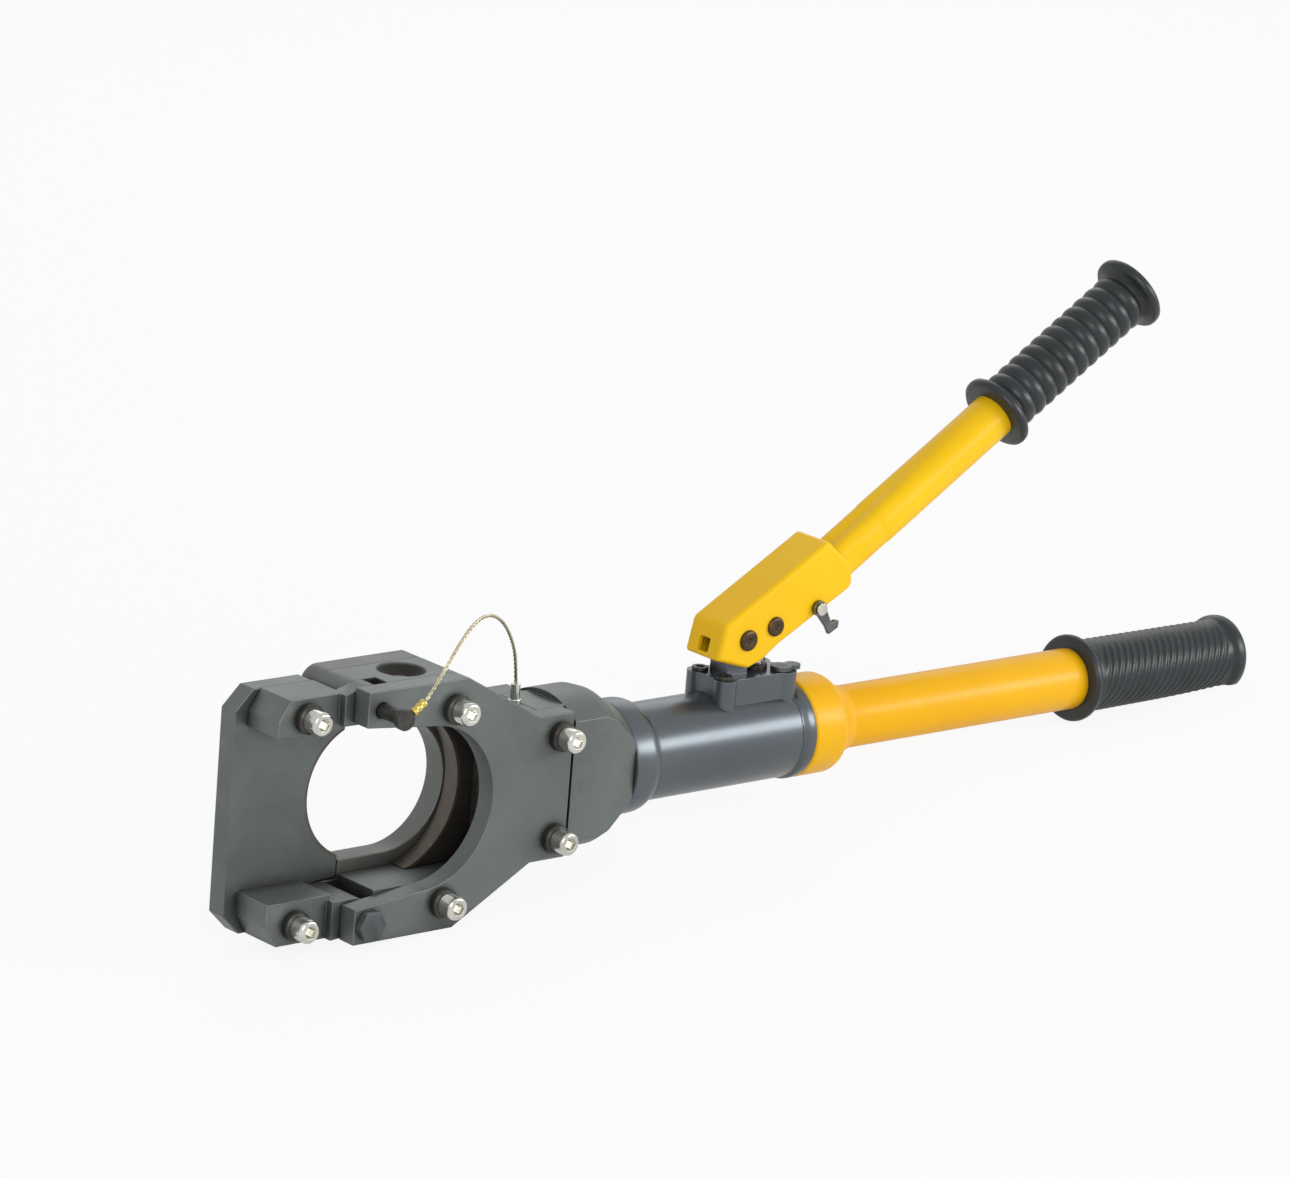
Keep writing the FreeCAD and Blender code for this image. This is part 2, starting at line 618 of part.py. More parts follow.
def barrel():
    tube = turned([(BARREL_LEFT_X, BARREL_BORE_R), (BARREL_LEFT_X, BARREL_R),
                   (BARREL_END_X - 8, BARREL_R), (BARREL_END_X - 6.5, BARREL_LIP_R),
                   (BARREL_END_X, BARREL_LIP_R), (BARREL_END_X, BARREL_BORE_R)])
    return tube.cut(round_z(PLUNGER_X, 0, 0, BARREL_R + 1, PLUNGER_BOSS_R + BORE_GAP))


CHECK_VALVE_R = 4.0
CHECK_VALVE_OFFSET = 12.0


def valve_body():
    body = round_x(VALVE_BODY_X, BARREL_END_X - 3, BARREL_BORE_R - BORE_GAP)
    body = body.fuse(round_x(VALVE_BODY_X - SPRING_STUD_LENGTH, VALVE_BODY_X,
                             SPRING_R - SPRING_WIRE_R - 0.3))
    body = body.cut(round_z(PLUNGER_X, 0, PLUNGER_BORE_BOTTOM, BARREL_BORE_R, PLUNGER_BOSS_R + BORE_GAP))
    for side in sides():
        body = body.cut(round_x(VALVE_BODY_X + 18, BARREL_END_X - 3, CHECK_VALVE_R + BORE_GAP,
                                side * CHECK_VALVE_OFFSET, -8))
    return body


def check_valves():
    valves = []
    for side in sides():
        valve = round_x(VALVE_BODY_X + 18, BARREL_END_X - 3, CHECK_VALVE_R,
                        side * CHECK_VALVE_OFFSET, -8)
        valves.append(valve.cut(round_x(VALVE_BODY_X + 24, BARREL_END_X - 3, 1.5,
                                        side * CHECK_VALVE_OFFSET, -8)))
    return Part.makeCompound(valves)


# ---- pump -------------------------------------------------------------------------------------
PUMP_BOSS_R = 6.5
PUMP_BOSS_INSET = 4.0
SCREW_R = 3.0
SCREW_HEAD_R = 4.6
GLAND_NUT_R = 7.0
GLAND_NUT_H = 3.6
RELEASE_X = 263.0
RELEASE_Y = -10.0
RELEASE_SPINDLE_R = 3.0
RELEASE_HUB_R = 6.0
RELEASE_T = 2.4
RELEASE_GAP = 0.3
RELEASE_ARM = 8.0
RELEASE_TIP_R = 4.5


def screw_places():
    left = PUMP_LEFT_X + PUMP_BOSS_INSET
    return [(left, -RELEASE_Y), (left, RELEASE_Y), (RELEASE_X, -RELEASE_Y)]


def pump_block():
    body = box(PUMP_LEFT_X, PUMP_RIGHT_X, -PUMP_HALF_Y, PUMP_HALF_Y, PUMP_BOTTOM, PUMP_TOP)
    upright = edges_at(body, lambda edge: edge.BoundBox.ZLength > 1)
    body = body.makeFillet(6.0, upright)
    for x in (PUMP_LEFT_X + PUMP_BOSS_INSET, PUMP_RIGHT_X - PUMP_BOSS_INSET):
        for side in sides():
            y = side * (PUMP_HALF_Y - PUMP_BOSS_INSET)
            body = body.fuse(round_z(x, y, PUMP_BOTTOM - 3, PUMP_TOP, PUMP_BOSS_R))
            tail = Part.makeCone(0.6, PUMP_BOSS_R, 9, Vector(x, y, PUMP_BOTTOM - 12), ALONG_Z)
            body = body.fuse(tail)
    body = body.cut(round_x(PUMP_LEFT_X - 9, PUMP_RIGHT_X + 9, BARREL_R + BORE_GAP))
    lug = box(PIVOT_X - LUG_R, PIVOT_X + LUG_R, -LUG_HALF_Y, LUG_HALF_Y, PUMP_TOP - 2, PIVOT_Z)
    body = body.fuse(lug).fuse(round_y(PIVOT_X, PIVOT_Z, -LUG_HALF_Y, LUG_HALF_Y, LUG_R))
    body = body.fuse(round_z(PLUNGER_X, 0, PLUNGER_BORE_BOTTOM + RUN, PUMP_TOP, PLUNGER_BOSS_R))
    body = body.removeSplitter()
    body = body.cut(round_y(PIVOT_X, PIVOT_Z, -LUG_HALF_Y, LUG_HALF_Y, LEVER_PIN_R + BORE_GAP))
    body = body.cut(round_z(PLUNGER_X, 0, PLUNGER_BORE_BOTTOM, PUMP_TOP, PLUNGER_R + BORE_GAP))
    for x, y in screw_places():
        body = body.cut(round_z(x, y, PUMP_TOP - 5, PUMP_TOP, SCREW_R + BORE_GAP))
    return body.cut(round_z(RELEASE_X, RELEASE_Y, PUMP_TOP - 5, PUMP_TOP, RELEASE_SPINDLE_R + BORE_GAP))


def pump_block_screws():
    screws = []
    for x, y in screw_places():
        head = round_z(x, y, PUMP_TOP, PUMP_TOP + 2, SCREW_HEAD_R)
        screw = head.fuse(round_z(x, y, PUMP_TOP - 4.8, PUMP_TOP, SCREW_R))
        screws.append(screw.cut(round_z(x, y, PUMP_TOP + 0.6, PUMP_TOP + 2, 2.2)))
    return Part.makeCompound(screws)


def plunger_gland():
    gland = round_z(PLUNGER_X, 0, PUMP_TOP, PUMP_TOP + GLAND_NUT_H, GLAND_NUT_R)
    top = edges_at(gland, lambda edge: edge.BoundBox.ZMin > PUMP_TOP + GLAND_NUT_H - 0.01)
    gland = gland.makeChamfer(0.8, top)
    return gland.cut(round_z(PLUNGER_X, 0, PUMP_TOP, PUMP_TOP + GLAND_NUT_H, PLUNGER_R + BORE_GAP))


PLUNGER_BOTTOM = 22.0
EYE_HALF_Y = 6.0
EYE_SIDE = 2.2          # spare length of the eye's slot each way along X
EYE_SPARE = 0.7         # and up and down
EYE_WALL = 3.5


def eye_bottom():
    return PLUNGER_Z - LEVER_PIN_R - EYE_SPARE - EYE_WALL


def plunger_eye():
    """The slotted eye on top of the plunger, which the plunger pin lifts and pushes."""
    slot_half = LEVER_PIN_R + EYE_SPARE
    outer = slot_half + EYE_WALL
    eye = box(PLUNGER_X - outer - EYE_SIDE, PLUNGER_X + outer + EYE_SIDE, -EYE_HALF_Y, EYE_HALF_Y,
              eye_bottom(), PLUNGER_Z + outer)
    eye = eye.makeFillet(4.0, edges_at(eye, lambda edge: edge.BoundBox.YLength > 1))
    slot = box(PLUNGER_X - EYE_SIDE, PLUNGER_X + EYE_SIDE, -EYE_HALF_Y, EYE_HALF_Y,
               PLUNGER_Z - slot_half, PLUNGER_Z + slot_half)
    for side in sides():
        slot = slot.fuse(round_y(PLUNGER_X + side * EYE_SIDE, PLUNGER_Z, -EYE_HALF_Y, EYE_HALF_Y,
                                 slot_half))
    return eye.cut(slot)


def pump_plunger():
    return round_z(PLUNGER_X, 0, PLUNGER_BOTTOM, eye_bottom(), PLUNGER_R)


def release_spindle():
    return round_z(RELEASE_X, RELEASE_Y, PUMP_TOP - 4.8, PUMP_TOP + RELEASE_GAP + RELEASE_T,
                   RELEASE_SPINDLE_R)


def release_lever():
    low = PUMP_TOP + RELEASE_GAP
    hub = round_z(RELEASE_X, RELEASE_Y, low, low + RELEASE_T, RELEASE_HUB_R)
    arm = box(RELEASE_X, RELEASE_X + RELEASE_ARM, RELEASE_Y - 3.5, RELEASE_Y + 3.5, low, low + RELEASE_T)
    tip = round_z(RELEASE_X + RELEASE_ARM, RELEASE_Y, low, low + RELEASE_T, RELEASE_TIP_R)
    tab = hub.fuse(arm).fuse(tip).removeSplitter()
    return tab.cut(round_z(RELEASE_X, RELEASE_Y, low, low + RELEASE_T, RELEASE_SPINDLE_R + BORE_GAP))


# ---- lever, modelled level with its pivot at the origin and then raised -------------------------
def raised(shape):
    shape.rotate(Vector(0, 0, 0), ALONG_Y, -LEVER_REST_DEG)
    shape.translate(Vector(PIVOT_X, 0, PIVOT_Z))
    return shape


NOSE_TIP = (-22.7, 3.0)
NOSE_BEND = (-9.0, 16.8)
ROOF_END = (72.0, 12.8)
NOSE_SLOT_WIDE = 8.5
NOSE_SLOT_TALL = 8.0
NOSE_SLOT_AT = 0.66     # how far down the nose the slot's middle is
FOLD_R = 3.0
TUBE_START_U = 54.7
TUBE_FLAT_END_U = 94.7
HOOK_PIN_U = 48.0
HOOK_PIN_V = -15.4
HOOK_PIN_R = 2.0


def fork_block():
    """The folded sheet's outside as a solid block, with its corners and folds rounded."""
    corners = [NOSE_TIP + (1.5,), NOSE_BEND + (6,), ROOF_END + (3,), (79.5, -9.5, 8), (74.5, -21.3, 6),
               (17, -17, 5), (3, -17.6, 4), (-7, -15.2, 5)]
    block = plate([(u, v) for u, v, _ in corners], -FORK_HALF, FORK_HALF)
    for u, v, radius in corners:
        upright = edges_at(block, lambda edge: edge.BoundBox.YLength > 1
                           and math.hypot(edge.BoundBox.Center.x - u, edge.BoundBox.Center.z - v) < 0.1)
        block = block.makeFillet(radius, upright)
    folds = edges_at(block, lambda edge: edge.BoundBox.YLength < 0.1 and edge.BoundBox.Center.z > 3)
    folds = [edge for edge in folds if edge.BoundBox.Center.x < ROOF_END[0] - 3]
    return block.makeFillet(FOLD_R, folds)


def fork_hollow(nose_run):
    """What the folds leave open: all that is under the roof, behind the nose and between the cheeks."""
    inward = Vector(-nose_run.z, 0, nose_run.x) * FORK_WALL
    past_tip = Vector(NOSE_TIP[0], 0, NOSE_TIP[1]) + nose_run * 20 + inward
    roof_drop = (ROOF_END[1] - NOSE_BEND[1]) / (ROOF_END[0] - NOSE_BEND[0])
    past_end_u = ROOF_END[0] + 20
    past_end_v = ROOF_END[1] + 20 * roof_drop - FORK_WALL
    outline = [(past_tip.x, past_tip.z), (NOSE_BEND[0] + 1, NOSE_BEND[1] - FORK_WALL),
               (past_end_u, past_end_v), (past_end_u, -40), (past_tip.x, -40)]
    return plate(outline, -FORK_INNER, FORK_INNER)


def nose_slot(nose_run):
    """The cutter for the upright slot through the nose."""
    bend = Vector(NOSE_BEND[0], 0, NOSE_BEND[1])
    tip = Vector(NOSE_TIP[0], 0, NOSE_TIP[1])
    slot = box(-2 * FORK_WALL, 2 * FORK_WALL, -NOSE_SLOT_WIDE / 2, NOSE_SLOT_WIDE / 2,
               -NOSE_SLOT_TALL / 2, NOSE_SLOT_TALL / 2)
    slot = slot.makeFillet(1.0, edges_at(slot, lambda edge: edge.BoundBox.XLength > 1))
    slot.rotate(Vector(0, 0, 0), ALONG_Y, math.degrees(math.atan2(nose_run.x, nose_run.z)) + 180)
    slot.translate(bend + (tip - bend) * NOSE_SLOT_AT)
    return slot


def lever_fork():
    nose_run = Vector(NOSE_TIP[0] - NOSE_BEND[0], 0, NOSE_TIP[1] - NOSE_BEND[1]).normalize()
    fork = fork_block().cut(fork_hollow(nose_run)).cut(nose_slot(nose_run))
    fork = fork.cut(round_y(0, 0, -FORK_HALF, FORK_HALF, LEVER_PIN_R + BORE_GAP))
    fork = fork.cut(round_y(PLUNGER_U, PLUNGER_V, -FORK_HALF, FORK_HALF, LEVER_PIN_R + BORE_GAP))
    fork = fork.cut(round_y(HOOK_PIN_U, HOOK_PIN_V, -FORK_HALF, FORK_HALF, HOOK_PIN_R + BORE_GAP))
    print("fork bounds", fork.BoundBox, "volume %.0f" % fork.Volume, "solids", len(fork.Solids))
    return raised(fork)


def lever_tube():
    end = LEVER_GRIP_U + LEVER_GRIP_LENGTH - 10
    tube = round_x(TUBE_START_U, end, LEVER_TUBE_R, 0, LEVER_AXIS_V)
    for side in sides():
        low, high = sorted((side * (FORK_INNER - BORE_GAP), side * LEVER_TUBE_R))
        tube = tube.cut(box(TUBE_START_U, TUBE_FLAT_END_U, low, high, LEVER_AXIS_V - LEVER_TUBE_R,
                            LEVER_AXIS_V + LEVER_TUBE_R))
    bore_r = min(LEVER_TUBE_R, FORK_INNER) - LEVER_TUBE_WALL
    return raised(tube.cut(round_x(TUBE_START_U, end, bore_r, 0, LEVER_AXIS_V)))


def lever_grip():
    end = LEVER_GRIP_U + LEVER_GRIP_LENGTH
    ribs_start = LEVER_GRIP_U + GRIP_FLANGE_T + 2
    pitch = (end - GRIP_FLANGE_T - 3 - ribs_start) / LEVER_RIBS
    groove_r = LEVER_GRIP_R - 1.6
    outer = [(LEVER_GRIP_U, LEVER_GRIP_FLANGE_R - 1.5), (LEVER_GRIP_U + 1.5, LEVER_GRIP_FLANGE_R),
             (LEVER_GRIP_U + GRIP_FLANGE_T - 1.5, LEVER_GRIP_FLANGE_R),
             (LEVER_GRIP_U + GRIP_FLANGE_T, LEVER_GRIP_FLANGE_R - 1.5),
             (LEVER_GRIP_U + GRIP_FLANGE_T, groove_r)]
    for rib in range(LEVER_RIBS):
        start = ribs_start + rib * pitch
        outer += [(start, groove_r), (start + 0.3 * pitch, LEVER_GRIP_R),
                  (start + 0.75 * pitch, LEVER_GRIP_R)]
    outer += [(end - GRIP_FLANGE_T, groove_r), (end - GRIP_FLANGE_T, LEVER_GRIP_FLANGE_R - 1.5),
              (end - GRIP_FLANGE_T + 1.5, LEVER_GRIP_FLANGE_R), (end - 1.5, LEVER_GRIP_FLANGE_R),
              (end, LEVER_GRIP_FLANGE_R - 1.5)]
    inner_r = LEVER_TUBE_R + BORE_GAP
    grip = turned([(LEVER_GRIP_U, inner_r)] + outer + [(end, 0), (end - 9.5, 0), (end - 9.5, inner_r)])
    grip.translate(Vector(0, 0, LEVER_AXIS_V))
    return raised(grip)


def fork_pin(u, v, head_r):
    """A cross pin through both cheeks, with a shallow head on the front cheek."""
    pin = round_y(u, v, -FORK_HALF, FORK_HALF + 2.4, LEVER_PIN_R)
    head = round_y(u, v, -FORK_HALF - 2.0, -FORK_HALF, head_r)
    front = edges_at(head, lambda edge: edge.BoundBox.YMax < -FORK_HALF - 1.9)
    return raised(pin.fuse(head.makeChamfer(0.8, front)))


def lever_pivot_pin():
    return fork_pin(0, 0, 5.8)


def plunger_pin():
    return fork_pin(PLUNGER_U, PLUNGER_V, 5.4)


def pin_circlips():
    clips = []
    for u, v in ((0, 0), (PLUNGER_U, PLUNGER_V)):
        ring = round_y(u, v, FORK_HALF, FORK_HALF + 1.4, 7.0)
        ring = ring.cut(round_y(u, v, FORK_HALF, FORK_HALF + 1.4, LEVER_PIN_R + BORE_GAP))
        ring = ring.cut(box(u - 1.6, u + 1.6, FORK_HALF, FORK_HALF + 1.4, v - 8, v))
        clips.append(raised(ring))
    return Part.makeCompound(clips)


HOOK_T = 2.5
HOOK_DROP = 17.0
HOOK_LEAN_DEG = -55.0


def hook_front():
    return -FORK_HALF - RUN - HOOK_T


def hook_pin():
    front = hook_front() - RUN
    shank = round_y(HOOK_PIN_U, HOOK_PIN_V, front, FORK_HALF, HOOK_PIN_R)
    return raised(shank.fuse(round_y(HOOK_PIN_U, HOOK_PIN_V, front - 1.5, front, HOOK_PIN_R + 1.4)))


def handle_hook():
    """A small steel hook that hangs beside the fork's front cheek; its nose turns outwards."""
    outline = [(0, -3.6), (HOOK_DROP - 5, -2.2), (HOOK_DROP, -2.6), (HOOK_DROP + 1, 4.5),
               (HOOK_DROP - 2, 7), (HOOK_DROP - 4, 5.2), (HOOK_DROP - 4.5, 2.2), (0, 3.6)]
    back = hook_front() + HOOK_T
    hook = plate(outline, hook_front(), back)
    hook = hook.fuse(round_y(0, 0, hook_front(), back, HOOK_PIN_R + 2.4)).removeSplitter()
    hook = hook.cut(round_y(0, 0, hook_front(), back, HOOK_PIN_R + BORE_GAP))
    hook.rotate(Vector(0, 0, 0), ALONG_Y, -HOOK_LEAN_DEG + LEVER_REST_DEG)
    hook.translate(Vector(HOOK_PIN_U, 0, HOOK_PIN_V))
    return raised(hook)


# ---- fixed handle -----------------------------------------------------------------------------
COUPLING_SPIGOT = 2.8
BLADDER_R = 13.0
TUBE_LEFT_X = 300.0
TUBE_END_X = 600.0


def coupling():
    spigot_r = BARREL_BORE_R - BORE_GAP
    body = turned([(BARREL_END_X - COUPLING_SPIGOT, 5), (BARREL_END_X - COUPLING_SPIGOT, spigot_r),
                   (BARREL_END_X, spigot_r), (BARREL_END_X, BARREL_LIP_R - 0.8),
                   (BARREL_END_X + 0.8, BARREL_LIP_R), (BARREL_END_X + 25, BARREL_LIP_R),
                   (BARREL_END_X + 28, BARREL_LIP_R - 1.5), (COUPLING_END_X - 5, TUBE_R + 3),
                   (COUPLING_END_X, TUBE_R + 2), (COUPLING_END_X, TUBE_R + BORE_GAP),
                   (TUBE_LEFT_X, TUBE_R + BORE_GAP), (TUBE_LEFT_X, 5)])
    return body


def reservoir_tube():
    tube = round_x(TUBE_LEFT_X, TUBE_END_X, TUBE_R)
    return tube.cut(round_x(TUBE_LEFT_X, TUBE_END_X, TUBE_R - TUBE_WALL))


def oil_bladder():
    bore = TUBE_R - TUBE_WALL
    outer = turned([(TUBE_LEFT_X, 5), (TUBE_LEFT_X, bore - RUN), (TUBE_LEFT_X + 6, bore - RUN),
                    (TUBE_LEFT_X + 9, BLADDER_R), (TUBE_LEFT_X + 160, BLADDER_R),
                    (TUBE_LEFT_X + 168, 8), (TUBE_LEFT_X + 168, 0), (TUBE_LEFT_X + 165, 0),
                    (TUBE_LEFT_X + 165, 6), (TUBE_LEFT_X + 157, BLADDER_R - 2),
                    (TUBE_LEFT_X + 9, BLADDER_R - 2), (TUBE_LEFT_X + 5, 5)])
    return outer


def tube_end_plug():
    plug = round_x(TUBE_END_X - 14, TUBE_END_X, TUBE_R - TUBE_WALL - BORE_GAP)
    return plug.cut(round_x(TUBE_END_X - 14, TUBE_END_X - 6, 9))


def fixed_grip():
    end = GRIP_X + GRIP_LENGTH
    inner_r = TUBE_R + BORE_GAP
    rim = 1.8
    return turned([(GRIP_X, inner_r), (GRIP_X, GRIP_FLANGE_R - rim), (GRIP_X + rim, GRIP_FLANGE_R),
                   (GRIP_X + 6 - rim, GRIP_FLANGE_R), (GRIP_X + 6, GRIP_FLANGE_R - rim),
                   (GRIP_X + 9, GRIP_R), (end - 9, GRIP_R - 0.8), (end - 7, GRIP_END_FLANGE_R - rim),
                   (end - 7 + rim, GRIP_END_FLANGE_R), (end - rim, GRIP_END_FLANGE_R),
                   (end, GRIP_END_FLANGE_R - rim), (end, 0), (TUBE_END_X, 0), (TUBE_END_X, inner_r)])


PIECES = [
    front_cheek, rear_cheek, upper_rail, lower_rail, rail_lock_screw, frame_bolts, neck_bolts,
    frame_bosses, neck_bosses, hinge_bolt, yoke_plate, upper_guide_block, lower_guide_block,
    guide_bolts, guide_bosses, latch_pin, lanyard_crimp, lanyard_anchor, lanyard_wire,
    moving_blade, blade_holder, blade_screws, ram_rod, piston, piston_seal, return_spring,
    base_flange, rod_gland, collar_nut, barrel, valve_body, check_valves, pump_block,
    pump_block_screws, plunger_gland, pump_plunger, plunger_eye, release_spindle, release_lever,
    lever_fork, lever_tube, lever_grip, lever_pivot_pin, plunger_pin, pin_circlips, hook_pin,
    handle_hook, coupling, reservoir_tube, oil_bladder, tube_end_plug, fixed_grip,
]

os.makedirs("parts", exist_ok=True)
for make in PIECES:
    piece = make()
    if not piece.isValid() or piece.Volume <= 0:
        print("check", make.__name__, piece.isValid(), piece.Volume)
    piece.exportStep("parts/%s.step" % make.__name__)
print(len(PIECES), "pieces")
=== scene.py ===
# %% [markdown]
# # Hydraulic bolt and cable cutter
# This lesson dresses a finished construction model. The construction model holds the true sizes and
# the joints. Here each visible part gets rounded edges, moulded or pressed shapes, and a surface
# made of shader nodes. We load the construction model first, because everything is placed from it.

# %% Load the frame
import math
import bmesh
import bpy
from mathutils import Matrix, Vector


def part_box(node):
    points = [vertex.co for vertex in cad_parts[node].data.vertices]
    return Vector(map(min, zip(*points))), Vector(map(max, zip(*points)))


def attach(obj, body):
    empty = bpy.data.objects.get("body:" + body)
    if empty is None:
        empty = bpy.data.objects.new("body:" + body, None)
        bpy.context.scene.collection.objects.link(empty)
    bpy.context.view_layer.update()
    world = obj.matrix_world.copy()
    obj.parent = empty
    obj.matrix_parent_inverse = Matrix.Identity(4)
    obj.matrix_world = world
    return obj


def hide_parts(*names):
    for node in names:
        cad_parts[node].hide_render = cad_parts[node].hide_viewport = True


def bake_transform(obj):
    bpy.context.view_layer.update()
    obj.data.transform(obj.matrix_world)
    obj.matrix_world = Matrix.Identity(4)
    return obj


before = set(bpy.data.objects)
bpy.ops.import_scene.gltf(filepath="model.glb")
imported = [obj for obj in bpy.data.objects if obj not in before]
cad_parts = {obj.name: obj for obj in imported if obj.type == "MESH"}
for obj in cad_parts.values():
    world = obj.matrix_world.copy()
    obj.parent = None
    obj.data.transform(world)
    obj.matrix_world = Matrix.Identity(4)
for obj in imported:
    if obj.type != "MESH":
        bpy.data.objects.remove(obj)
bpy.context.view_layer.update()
MM = 0.001
SCENE = bpy.context.scene

# %% [markdown]
# ## The camera
# The cutter is seen from its front left and a little above, through a long lens, so that its far
# grip is hardly smaller than its head. The tool stands on its head and slopes down to its grip. We
# keep the model level and tilt the camera by the same angle instead, because the parts never move.

# %% Camera
CAMERA_AZIMUTH = math.radians(-40.5)
CAMERA_ELEVATION = math.radians(18.0)
CAMERA_ROLL = math.radians(1.2)
HANDLE_DIP = math.radians(4.3)
CAMERA_DISTANCE = 3.226
CAMERA_LENS = 173.44
CENTRE_RIGHT_OF_THROAT = 0.1355
CENTRE_ABOVE_THROAT = 0.1067


def camera_axes():
    """The camera's right, up and back directions for a level tool."""
    flat = math.cos(CAMERA_ELEVATION)
    back = Vector((math.sin(CAMERA_AZIMUTH) * flat, -math.cos(CAMERA_AZIMUTH) * flat,
                   math.sin(CAMERA_ELEVATION)))
    right = Vector((math.cos(CAMERA_AZIMUTH), math.sin(CAMERA_AZIMUTH), 0))
    up = back.cross(right)
    rolled_right = right * math.cos(CAMERA_ROLL) + up * math.sin(CAMERA_ROLL)
    return rolled_right, back.cross(rolled_right), back


def make_camera():
    right, up, back = camera_axes()
    place = right * CENTRE_RIGHT_OF_THROAT + up * CENTRE_ABOVE_THROAT + back * CAMERA_DISTANCE
    pose = Matrix((right, up, back)).transposed().to_4x4()
    pose.translation = place
    camera = bpy.data.objects.new("camera", bpy.data.cameras.new("camera"))
    camera.data.lens = CAMERA_LENS
    camera.data.sensor_width = 36.0
    camera.data.clip_end = 100.0
    camera.matrix_world = Matrix.Rotation(-HANDLE_DIP, 4, "Y") @ pose
    SCENE.collection.objects.link(camera)
    SCENE.camera = camera
    return camera


camera = make_camera()
print("camera at", [round(value, 3) for value in camera.location])

# %% [markdown]
# ## A toolbox for materials
# A real surface is never one flat value. Each finish starts from one Principled shader, and small helpers
# then add what the eye looks for: slow drifts of tone, fine grain, worn edges that also paint a highlight
# along the corners, and painted shade in corners, slots and holes. All of the patterns read Object
# coordinates, so they stay on the part when it moves.

# %% Material helpers
def linear(*colour):
    """Turns a colour of 0 to 255 as seen on a screen into the linear values that shaders use."""
    channels = [value / 255 for value in colour]
    return tuple(c / 12.92 if c <= 0.04045 else ((c + 0.055) / 1.055) ** 2.4 for c in channels) + (1,)


